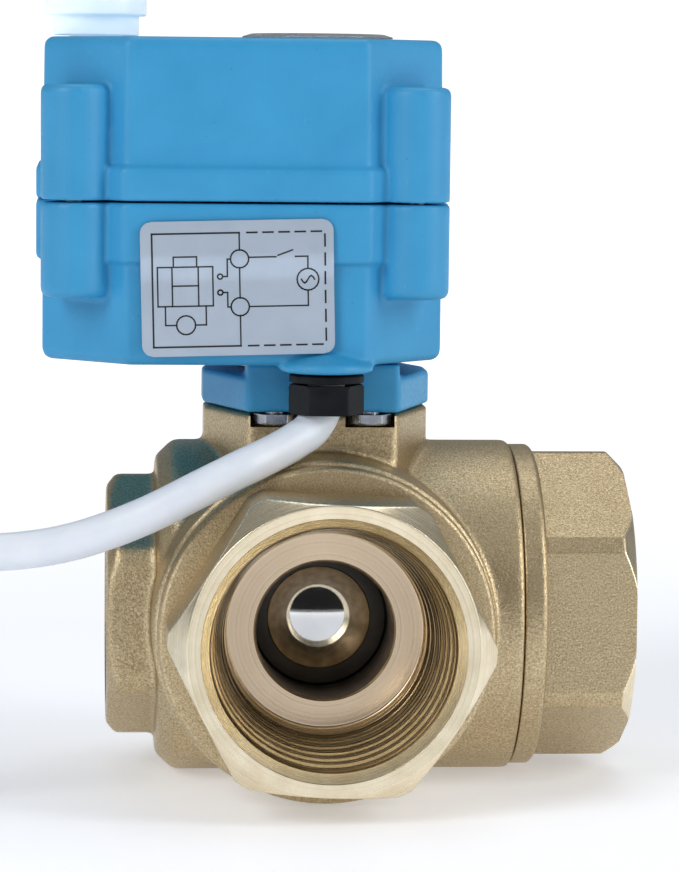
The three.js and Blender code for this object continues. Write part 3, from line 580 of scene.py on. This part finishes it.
def octagon(w, d, c, radius=1.2):
    """The housing's anticlockwise outline: a rectangle with its corners cut off and rounded."""
    quarter = [(w, d - c), (w - c, d)]
    corners = []
    for sx, sy in ((1, 1), (-1, 1), (-1, -1), (1, -1)):
        pair = quarter if sx * sy > 0 else quarter[::-1]
        corners += [(HOUSING_X + sx * x, sy * y, radius) for x, y in pair]
    return rounded(corners)


def blended(*shapes):
    corners, faces = [], []
    for more, sides in shapes:
        first = len(corners)
        corners += more
        faces += [tuple(first + k for k in face) for face in sides]
    return corners, faces


# ---------- objects ----------


def thing(name, *shapes):
    """A mesh object in the row frame, from shapes in millimetres."""
    corners, faces = blended(*shapes)
    mesh = bpy.data.meshes.new(name)
    mesh.from_pydata([to_frame(c) for c in corners], [], faces)
    work = bmesh.new()
    work.from_mesh(mesh)
    bmesh.ops.recalc_face_normals(work, faces=work.faces)
    work.to_mesh(mesh)
    work.free()
    obj = bpy.data.objects.new(name, mesh)
    bpy.context.collection.objects.link(obj)
    return obj


def settle(obj):
    """Makes the modifiers' result the object's own mesh."""
    bpy.context.view_layer.update()
    result = bpy.data.meshes.new_from_object(obj.evaluated_get(bpy.context.evaluated_depsgraph_get()))
    obj.modifiers.clear()
    obj.data = result


def fuse(obj, voxel, rounds):
    """Joins overlapping solids into one skin and softens its edges, as casting and moulding do."""
    remesh = obj.modifiers.new("fuse", "REMESH")
    remesh.mode = "VOXEL"
    remesh.voxel_size = voxel * MM
    smooth = obj.modifiers.new("soften", "SMOOTH")
    smooth.factor = 0.5
    smooth.iterations = rounds
    settle(obj)
    return obj


def cut(obj, *shapes, operation="DIFFERENCE"):
    for k, shape in enumerate(shapes):
        tool = thing(f"{obj.name}_tool_{k}", shape)
        boolean = obj.modifiers.new("cut", "BOOLEAN")
        boolean.operation = operation
        boolean.object = tool
        boolean.solver = "EXACT"
        settle(obj)
        bpy.data.objects.remove(tool)
    return obj


def finish_piece(obj, material, body, replaced=(), sharp=35):
    obj.data.materials.clear()
    obj.data.materials.append(material)
    if obj.type == "MESH":
        obj.data.polygons.foreach_set("use_smooth", [True] * len(obj.data.polygons))
        obj.data.set_sharp_from_angle(angle=math.radians(sharp))
    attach(obj, body)
    if replaced:
        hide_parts(*([replaced] if isinstance(replaced, str) else replaced))
    return obj


# ---------- brass ----------

CAP_END = 45
CAP_HEX = 40
CAP_CORNER_R = 22.45
RING_START, RING_END, RING_R = 28.6, 31.9, 23.5
BODY_END = 28.5
LEFT_END = 30.3
LEFT_HEX = 34  # across flats
PORT_R = 9.6
PITCH = 2.21
THREAD_LOW, THREAD_HIGH = 27.6, 43.5
NECK_TOP = 29.6
BASE_SCREWS = [(sx * 6.7, sy * 16.9) for sx, sy in ((-1, -1), (1, -1), (1, 1), (-1, 1))]


def base_outline(by, ends, radius):
    """The eight-sided outline that the brass neck and the blue base share, anticlockwise."""
    corner, side = (10.8 - by, 18.9 - ends), 16.4 - by
    quarter = [(side, 3), corner]
    corners = []
    for sx, sy in ((1, 1), (-1, 1), (-1, -1), (1, -1)):
        pair = quarter if sx * sy > 0 else quarter[::-1]
        corners += [(sx * x, sy * y, radius) for x, y in pair]
    return rounded(corners)


def valve_body():
    run = turned(finer(rounded([(0, -23.2), (21.6, -23.2, 1.5), (BODY_R, -20.6, 2), (BODY_R, BODY_END, 0.5),
                                (0, BODY_END)], closed=False), 2, False), "right")
    branch_path = rounded([(0, 0), (BODY_R, 0), (BODY_R, BODY_END, 0.5), (0, BODY_END)], closed=False)
    branch = turned(branch_path, "front")
    end_path = rounded([(0, 20), (19.6, 20), (19.6, 28.6, 0.8), (17.2, LEFT_END, 0.3), (0, LEFT_END)],
                       closed=False)
    hexagon = turned(finer(end_path, 0.4, False), "left", shape=hexed(LEFT_HEX, 19.1, ease=0.8))
    neck = lofted(base_outline(0.2, 1.1, 1.2), edged(12, NECK_TOP, 0, 0.3))
    boss = turned([(0, 28), (7.8, 28), (7.8, 36.8), (0, 36.8)])
    body = fuse(thing("valve_body_casting", run, branch, hexagon, neck, boss), 0.42, 6)
    way = turned([(0, -13), (18.2, -13), (18.2, 26.4), (20.3, 26.4), (20.3, 30), (0, 30)], "right")
    side_way = turned([(0, 0), (18.2, 0), (18.2, 26.4), (20.3, 26.4), (20.3, 30), (0, 30)], "front")
    left = turned([(0, 0), (12.4, 0), (12.4, 18.2), (PORT_R, 18.2), (PORT_R, 20.5), (12.6, 20.5),
                   (13.2, 28.8), (14.6, 30.4), (14.6, 31), (0, 31)], "left")
    back = turned([(0, 0), (12.4, 0), (12.4, 18.2), (0, 18.2)], "back")
    stem = turned([(0, 0), (6.3, 0), (6.3, 21.5), (4.5, 21.5), (4.5, 38), (0, 38)])
    notch = [(0, 27.7), (3.6, 27.7), (3.6, 31), (0, 31)]
    notches = [turned(notch, at=(x, y, 0), sides=48) for x, y in BASE_SCREWS]
    cut(body, way, side_way, left, back, stem, *notches)
    return finish_piece(body, CAST, "valve", "valve_body")


def thread(depth=0.34):
    """Ridges that climb along a turned wall."""
    def ridge(angle, r, height):
        if not (13.2 < r < 17 and THREAD_LOW < height < THREAD_HIGH):
            return r
        phase = (height / PITCH + angle / TAU) % 1
        rise = abs(2 * phase - 1)
        fade = min(1, (height - THREAD_LOW) / 1.2, (THREAD_HIGH - height) / 1.2)
        return r - depth * (min(1, max(0, (rise - 0.2) / 0.6)) - 0.5) * fade
    return ridge


def end_cap(name, aim, turn, node, chamfer, face_r):
    """A cap: its cast outside with a turned face and chamfer, and the turned lining of its port."""
    outer = rounded([(17.9, 18.2), (17.9, RING_START), (RING_R, RING_START, 0.3), (RING_R, RING_END, 0.9),
                     (22.8, RING_END + 0.01), (22.8, RING_END + 0.3), (22.6, chamfer),
                     (face_r, CAP_END, 0.15),
                     (18.04, CAP_END, 0.1), (17.15, 42.6), (16.2, 30), (16.2, 20.4), (13, 18.2)])
    limit = hexed(CAP_HEX, CAP_CORNER_R, turn, 0.22, RING_END + 0.005)
    skin = thing(name, turned(finer(outer, 0.3), aim, sides=600, shape=limit))
    axis = Vector(AIM[aim](0, 0, 1))
    finish_piece(skin, CAST, "valve", node)
    skin.data.materials.append(TURNED["XY"[aim == "front"]])
    for face in skin.data.polygons:
        height = (face.center - ORIGIN).dot(axis) / MM
        if height > chamfer - 0.6 and face.normal.dot(axis) > 0.3:
            face.material_index = 1
    lining = rounded([(12.2, 18.3), (12.4, 18.2), (12.4, 17.9), (PORT_R, 17.9), (PORT_R, SHOULDER, 0.4),
                      (14, SHOULDER, 0.5), (14, 28), (16.8, 43.6, 0.4), (18.0, CAP_END), (17.2, 42.58),
                      (16.25, 30), (16.25, 20.4)])
    bore = thing(name + "_bore", turned(finer(lining, 0.25), aim, sides=320, shape=thread()))
    finish_piece(bore, TURNED["XY"[aim == "front"]], "valve", ())
    bore.data.materials.append(BORE_PAINTED_SHADE)
    # painted shade: the narrow bore beside the ball takes the dark brass
    for face in bore.data.polygons:
        arm = face.center - ORIGIN
        if (arm - axis * arm.dot(axis)).length < (PORT_R + 0.4) * MM:
            face.material_index = 1


def ball_and_seats():
    sphere = thing("ball_polished", turned([(BALL_R * math.sin(t), -BALL_R * math.cos(t))
                                            for t in (math.pi * k / 96 for k in range(97))]))
    run = turned([(0, -20), (9.5, -20), (9.5, 20), (0, 20)], "right")
    branch = turned([(0, 0), (9.5, 0), (9.5, 20), (0, 20)], "back")
    slot = lofted([(-6, -2.5), (6, -2.5), (6, 2.5), (-6, 2.5)], [(14.3, 0), (20, 0)])
    cut(sphere, run, branch, slot)
    finish_piece(sphere, CHROME, "flow_control", "ball")

    touch = [(r, math.sqrt((BALL_R + 0.3) ** 2 - r ** 2)) for r in (9.7, 10.2, 10.8, 11.4, 12.1)]
    for aim in ("left", "right", "front", "back"):
        seat = thing(f"seat_{aim}_ring", turned(rounded(touch + [(12.1, 17.9, 0.2), (9.7, 17.9, 0.2)]), aim))
        finish_piece(seat, PTFE, "valve", f"seat_{aim}")


valve_body()
end_cap("end_cap_right_casting", "right", 0, "end_cap_right", 43, 20.6)
end_cap("end_cap_front_casting", "front", -3, "end_cap_front", 41.6, 19.85)
ball_and_seats()

# ---------- base, gland and screws ----------

BASE_LOW, BASE_TOP, BLOCK_TOP = 29.9, 34.8, 36.7


def mounting_base():
    plate = lofted(base_outline(0, 0, 1.0), edged(BASE_LOW, BASE_TOP, 0.3, 0.6))
    blocks = [lofted(rounded([(-10.8, y - 3.75, 0.5), (10.8, y - 3.75, 0.5), (10.8, y + 3.75, 0.8),
                              (-10.8, y + 3.75, 0.8)]), [(33, 0), (BLOCK_TOP, 0)]) for y in (-15.15, 15.15)]
    base = fuse(thing("mounting_base_moulding", plate, *blocks), 0.3, 3)
    hole = [(0, 28), (1.7, 28), (1.7, 38), (0, 38)]
    holes = [turned(hole, at=(x, y, 0), sides=32) for x, y in BASE_SCREWS]
    cut(base, turned([(0, 28), (8.1, 28), (8.1, 38), (0, 38)]), *holes)
    finish_piece(base, BLUE, "valve", "mounting_base")


def base_screw(k, x, y):
    path = rounded([(0, 28.1), (2.5, 28.1, 0.2), (3.3, 28.5), (3.3, 29.6), (0, 29.6)], closed=False)
    head = turned(finer(path, 0.1, False), at=(x, y, 0), sides=144, shape=hexed(5.5, 3.1, ease=0.15))
    shank = turned([(0, 29.4), (1.4, 29.4), (1.4, 42.7), (0, 42.7)], at=(x, y, 0), sides=32)
    screw = cut(thing(f"base_screw_{k}_turned", head), shank, operation="UNION")
    finish_piece(screw, STEEL, "valve", f"base_screw_{k}")


def gland():
    path = rounded([(2.9, 34.7), (5.2, 34.7, 0.25), (5.2, 35.8, 0.25), (3.9, 35.8), (3.9, 37), (2.9, 37)])
    collar = turned(path, at=(0, GLAND_Y, 0), sides=96)
    finish_piece(thing("gland_collar", collar), BLACK, "valve", "gland_body")
    nut = rounded([(4.35, 30.3), (5.0, 30.3, 0.2), (5.4, 30.8, 0.2), (5.4, 33.9, 0.2), (5.0, 34.4, 0.2),
                   (4.1, 34.4), (4.1, 32.2), (3.7, 32.0, 0.1)])
    hexagon = turned(finer(nut, 0.12), at=(0, GLAND_Y, 0), sides=288, shape=hexed(9.2, 5.25, ease=0.2))
    finish_piece(thing("gland_nut_moulding", hexagon), BLACK, "valve", "gland_nut")


mounting_base()
for k, (x, y) in enumerate(BASE_SCREWS, 1):
    base_screw(k, x, y)
gland()

# ---------- actuator housing ----------

BOTTOM, FLOOR, SPLIT, SEAM, CEILING, TOP = 37, 39.6, 59.4, 59.7, 80.0, 82.2
LOWER_LEDGE, UPPER_LEDGE = 51.1, 64.4
WALLS = (28.2, 26.5, 11.55)
BAND = (29.1, 27.4, 12.1)
CAVITY = (25.7, 24, 13.8)
TOWER_R, TOWER_LOW, TOWER_HIGH = 4.8, 46.2, 75.6
TOWERS = [(HOUSING_X + sx * 23.6, sy * 22.5) for sx, sy in ((-1, -1), (1, -1), (1, 1), (-1, 1))]
OVERRIDE_LOW, OVERRIDE_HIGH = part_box("override_plug")
OVERRIDE_AT = ((OVERRIDE_LOW + OVERRIDE_HIGH) / 2 - ORIGIN) / MM


def cylinder(x, y, r, low, high, foot=0.0, head=0.0, sides=96):
    """An upright rod with rounded ends."""
    path = [(0, low), (r, low), (r, high), (0, high)]
    if foot or head:
        path = rounded([(0, low), (r, low, foot), (r, high, head), (0, high)], closed=False)
    return turned(path, at=(x, y, 0), sides=sides)


def lower_housing():
    walls = lofted(octagon(*WALLS, 1.4), edged(BOTTOM, SPLIT, 1.5, 0))
    band = lofted(octagon(*BAND, 1.4), edged(LOWER_LEDGE, SPLIT, 0.6, 0))
    towers = [cylinder(x, y, TOWER_R, TOWER_LOW, SPLIT, 1.2, 0.05) for x, y in TOWERS]
    path = rounded([(0, 36.1), (6.5, 36.1, 0.4), (6.5, 37.3, 0.4), (1.5, 39.2), (0, 39.2)], closed=False)
    bowl = turned(path, at=(0, GLAND_Y, 0))
    shell = fuse(thing("lower_housing_moulding", walls, band, *towers, bowl), 0.36, 4)
    cavity = lofted(octagon(*CAVITY, 0.6), [(FLOOR, 0), (SPLIT + 3, 0)])
    lid = lofted([(-60, -40), (40, -40), (40, 40), (-60, 40)], [(SPLIT, 0), (SPLIT + 4, 0)])
    bores = [cylinder(x, y, 2.6, TOWER_LOW - 0.1, 49.6) for x, y in TOWERS]
    under = cylinder(0, 0, 12, BOTTOM - 1, 38.2)
    shaft = cylinder(0, 0, 6.3, 38, 44)
    way = cylinder(0, GLAND_Y, 4.2, 36, 37.3)
    cut(shell, cavity, lid, under, shaft, way, *bores)
    finish_piece(shell, BLUE, "valve", "lower_housing", sharp=50)


def upper_housing():
    walls = lofted(octagon(*WALLS, 1.4), edged(SEAM, TOP, 0, 1.3, draft=0.25))
    band = lofted(octagon(*BAND, 1.4), edged(SEAM, UPPER_LEDGE, 0.15, 0.6))
    towers = [cylinder(x, y, TOWER_R, SEAM, TOWER_HIGH, 0.05, 1.0) for x, y in TOWERS]
    x, y = OVERRIDE_AT.x, OVERRIDE_AT.y
    seat = cylinder(x, y, 6.7, TOP - 1, TOP + 0.2)
    shell = fuse(thing("upper_housing_moulding", walls, band, *towers, seat), 0.36, 4)
    cavity = lofted(octagon(*CAVITY, 0.6), [(SEAM - 3, 0), (CEILING, 0)])
    foot = lofted([(-60, -40), (40, -40), (40, 40), (-60, 40)], [(SEAM - 4, 0), (SEAM, 0)])
    window = cylinder(0, 0, 9.7, CEILING - 1, TOP + 1)
    rim = cylinder(0, 0, 11, TOP - 0.8, TOP + 1)
    cut(shell, cavity, foot, window, rim, cylinder(x, y, 4.3, CEILING - 1, TOP + 1))
    finish_piece(shell, BLUE, "valve", "upper_housing", sharp=50)


def housing_screw(k, x, y):
    path = rounded([(0, 47.3), (2.0, 47.3, 0.7), (2.0, 49.3), (1.3, 49.3), (1.3, 65.5), (0, 65.5)],
                   closed=False)
    head = turned(finer(path, 0.5, False), at=(x, y, 0), sides=48)
    screw = thing(f"housing_screw_{k}_turned", head)
    for w, d in ((0.3, 1.3), (1.3, 0.3)):
        slot = [(x - w, y - d), (x + w, y - d), (x + w, y + d), (x - w, y + d)]
        cut(screw, lofted(slot, [(46, 0), (48.3, 0)]))
    finish_piece(screw, STEEL, "valve", f"housing_screw_{k}")


lower_housing()
upper_housing()
for k, (x, y) in enumerate(TOWERS, 1):
    housing_screw(k, x, y)


def override_plug():
    x, y = OVERRIDE_AT.x, OVERRIDE_AT.y
    low = TOP + 0.5
    path = rounded([(0, 79.6), (3.9, 79.6, 0.3), (3.9, low), (6.25, low, 0.2), (6.25, TOP + 3.3, 0.3),
                    (7.4, TOP + 3.3, 0.4), (7.4, TOP + 6.0, 0.6), (0, TOP + 6.0)], closed=False)
    finish_piece(thing("override_plug_moulding", turned(path, at=(x, y, 0), sides=128)), MILKY, "plug",
                 "override_plug")


def indicator():
    dome = rounded([(0, TOP + 0.1), (8.6, TOP + 0.1), (8.6, TOP - 1.8), (9.3, TOP - 1.8), (9.3, TOP + 0.3),
                    (10.9, TOP + 0.3, 0.05), (10.9, TOP + 0.5, 0.1), (9.6, TOP + 0.9, 1.0), (0, TOP + 1.0)],
                   closed=False)
    window = thing("indicator_window_dome", turned(dome))
    finish_piece(window, CLEAR, "valve", "indicator_window")
    face = CEILING + 0.7
    disc = turned(rounded([(0, CEILING), (8, CEILING, 0.1), (8, face, 0.2), (0, face)], closed=False))
    outline = rounded([(-1.2, -6.5, 0.3), (1.2, -6.5, 0.3), (1.2, 2, 0.2), (3, 2, 0.3), (0, 7, 0.3),
                       (-3, 2, 0.3), (-1.2, 2, 0.2)])
    arrow = lofted(outline, [(CEILING + 0.5, 0), (CEILING + 1.1, 0), (CEILING + 1.2, 0.1)])
    pointer = cut(thing("indicator_pointer_moulding", disc), arrow, operation="UNION")
    finish_piece(pointer, RED, "flow_control", "indicator_pointer")


override_plug()
indicator()

# ---------- label ----------

LABEL_CENTRE = (-12.6, 47.9)
LABEL_TURN = math.radians(1.5)
LABEL_SIZE = (13.3, 9.3)


def on_label(u, v, lift):
    """A point of the label, which steps back where the housing's band ends."""
    x = LABEL_CENTRE[0] + u * math.cos(LABEL_TURN) - v * math.sin(LABEL_TURN)
    z = LABEL_CENTRE[1] + u * math.sin(LABEL_TURN) + v * math.cos(LABEL_TURN)
    t = min(1, max(0, (LOWER_LEDGE + 1.2 - z) / 3.2))
    back = 0.45 * t * t * (3 - 2 * t)
    return (x, -27.72 + back - lift, z)


def sheet_on_label(outline, low, high, step=0.6):
    """A thin solid on the label over an outline that is narrow or has no dents."""
    rows = []
    v_low, v_high = min(v for _, v in outline), max(v for _, v in outline)
    count = max(1, math.ceil((v_high - v_low) / step))
    n = len(outline)
    for k in range(count + 1):
        v = v_low + (v_high - v_low) * k / count
        v = min(v_high - 1e-4, max(v_low + 1e-4, v))
        hits = []
        for i in range(n):
            (u0, v0), (u1, v1) = outline[i], outline[(i + 1) % n]
            if (v0 <= v) != (v1 <= v):
                hits.append(u0 + (u1 - u0) * (v - v0) / (v1 - v0))
        rows.append((min(hits), max(hits), v))
    corners, faces = [], []
    for left, right, v in rows:
        ring = ((left, low), (right, low), (right, high), (left, high))
        corners += [on_label(u, v, lift) for u, lift in ring]
    for k in range(len(rows) - 1):
        for i in range(4):
            a, b = 4 * k + i, 4 * k + (i + 1) % 4
            faces.append((a, b, b + 4, a + 4))
    faces += [(0, 1, 2, 3), tuple(range(len(corners) - 4, len(corners)))]
    return corners, faces


def stroke(points, width=0.21, closed=False):
    """Ink bars from point to point, which follow the label's bend."""
    bars = []
    for start, end in zip(points, points[1:] + (points[:1] if closed else [])):
        a, b = Vector(start), Vector(end)
        along = (b - a).normalized() * width / 2
        side = Vector((-along.y, along.x))
        a, b = a - along, b + along
        count = max(1, math.ceil((b - a).length / 0.6))
        corners, faces = [], []
        for k in range(count + 1):
            here = a.lerp(b, k / count)
            left, right = here - side, here + side
            for edge, lift in ((left, 0.27), (right, 0.27), (right, 0.3), (left, 0.3)):
                corners.append(on_label(edge.x, edge.y, lift))
        for k in range(4 * count):
            first, turn = 4 * (k // 4), k % 4
            low, high = first + turn, first + (turn + 1) % 4
            faces.append((low, high, high + 4, low + 4))
        faces += [(0, 1, 2, 3), tuple(range(4 * count, 4 * count + 4))]
        bars.append((corners, faces))
    return bars


def circle(u, v, r, count=20):
    angles = [TAU * k / count for k in range(count)]
    return stroke([(u + r * math.cos(a), v + r * math.sin(a)) for a in angles], closed=True)


def dashes(start, end, count):
    a, b = Vector(start), Vector(end)
    bars = []
    for k in range(count):
        bars += stroke([tuple(a.lerp(b, (k + 0.17) / count)), tuple(a.lerp(b, (k + 0.78) / count))], 0.25)
    return bars


def label():
    w, h, r = *LABEL_SIZE, 1.6
    plate = rounded([(-w, -h, r), (w, -h, r), (w, h, r), (-w, h, r)], step=8)
    sheet = thing("label_plate", sheet_on_label(plate, 0, 0.28, 0.2))
    finish_piece(sheet, FOIL, "valve", "label")
    art = []
    art += stroke([(0.3, 7.6), (-11.7, 7.6), (-11.7, -8), (0.3, -8)], 0.25)
    art += dashes((1, 7.6), (12.1, 7.6), 5) + dashes((12.1, 7.6), (12.1, -8), 6)
    art += dashes((1, -8), (12.1, -8), 5)
    art += stroke([(0.3, 7.6), (0.3, 5.2)]) + stroke([(0.3, 2.8), (0.3, -1.4)])
    art += stroke([(0.3, -3.8), (0.3, -8)])
    art += circle(0.3, 4, 1.25) + circle(0.3, -2.6, 1.25)
    art += stroke([(1.6, 4.2), (5.3, 4.2)]) + stroke([(5.6, 4.4), (7.6, 5.1)])
    art += stroke([(8, 4.2), (9.7, 4.2), (9.7, 2.5)])
    art += circle(9.7, 1, 1.5) + stroke([(9.7, -0.5), (9.7, -2.6), (1.6, -2.6)])
    steps = [k / 4 for k in range(-4, 5)]
    art += stroke([(9.7 + 0.9 * t, 1 + 0.5 * math.sin(math.pi * t)) for t in steps])
    art += stroke([(-11, 3), (-3.4, 3), (-3.4, -2.4), (-11, -2.4)], closed=True)
    art += stroke([(-9, 3), (-9, -2.4)]) + stroke([(-5.4, 3), (-5.4, -2.4)])
    art += stroke([(-9, 0.4), (-5.4, 0.4)])
    art += stroke([(-8.8, 3), (-8.8, 4.4), (-5.6, 4.4), (-5.6, 3)]) + circle(-7.2, -5, 1.3)
    art += stroke([(-8.5, -5), (-10, -5), (-10, -2.4)]) + stroke([(-5.9, -5), (-4.4, -5), (-4.4, -2.4)])
    art += circle(-2.4, 1.6, 0.35, 10) + circle(-2.4, -0.6, 0.35, 10)
    art += stroke([(-2.05, 1.6), (-1.4, 1.6), (-1.4, 4), (-0.95, 4)])
    art += stroke([(-2.05, -0.6), (-1.4, -0.6), (-1.4, -2.6), (-0.95, -2.6)])
    finish_piece(thing("label_schematic", *art), INK, "valve", ())


label()

# ---------- cord, its coil and its leads ----------


def add_cord():
    route = CORD_POINTS + coil_points()
    cable = wire("cord_cable", route, CORD_R)
    end, before = Vector(route[-1]), Vector(route[-2])
    along = (end - before).normalized()
    for name, side, material, node in (("lead_red_core", -1, PVC_RED, "lead_red"),
                                       ("lead_black_core", 1, PVC_BLACK, "lead_black")):
        across = Vector((side * 1.0, 0, 0))
        points = [end - along * 2 + across, end + along * 1.5 + across,
                  end + along * 6 + Vector((-1.5 + side * 1.2, 0, -1)),
                  end + along * 11 + Vector((-6 + side * 2, 0, -1.6)),
                  end + along * 13 + Vector((-12, side * 2.6, -1.7)),
                  end + along * 12 + Vector((-19, side * 3.2, -1.7))]
        core = wire(name, [tuple(p) for p in points], CORE_R)
        finish_piece(core, material, "valve", node)
    finish_piece(cable, PVC_WHITE, "valve", ("cord", "cord_coil"))


add_cord()

# ---------- finishes of the nodes that stay as they are ----------

NODE_FINISH = {
    RUBBER: ["cap_seal_right", "cap_seal_front", "stem_seal_lower", "stem_seal_upper", "housing_gasket",
             "window_seal", "gland_seal"],
    PTFE: ["stem_thrust_washer"],
    TURNED["Z"]: ["stem", "base_lock_nut"],
    ACETAL: ["output_gear", "compound_gear", "override_spindle"],
    STEEL: ["compound_gear_pin", "motor_pinion", "plate_screw_1", "plate_screw_2", "plate_screw_3",
            "plate_screw_4"],
    MOTOR_STEEL: ["motor"],
    PLATE: ["gear_plate", "limit_switch_front", "limit_switch_back", "capacitor_1", "capacitor_2"],
    RED: ["cam"],
    BOARD: ["circuit_board"],
    PVC_RED: ["core_red"],
    PVC_BLACK: ["core_black"],
}
for material, names in NODE_FINISH.items():
    for name in names:
        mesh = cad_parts[name].data
        mesh.materials.clear()
        mesh.materials.append(material)
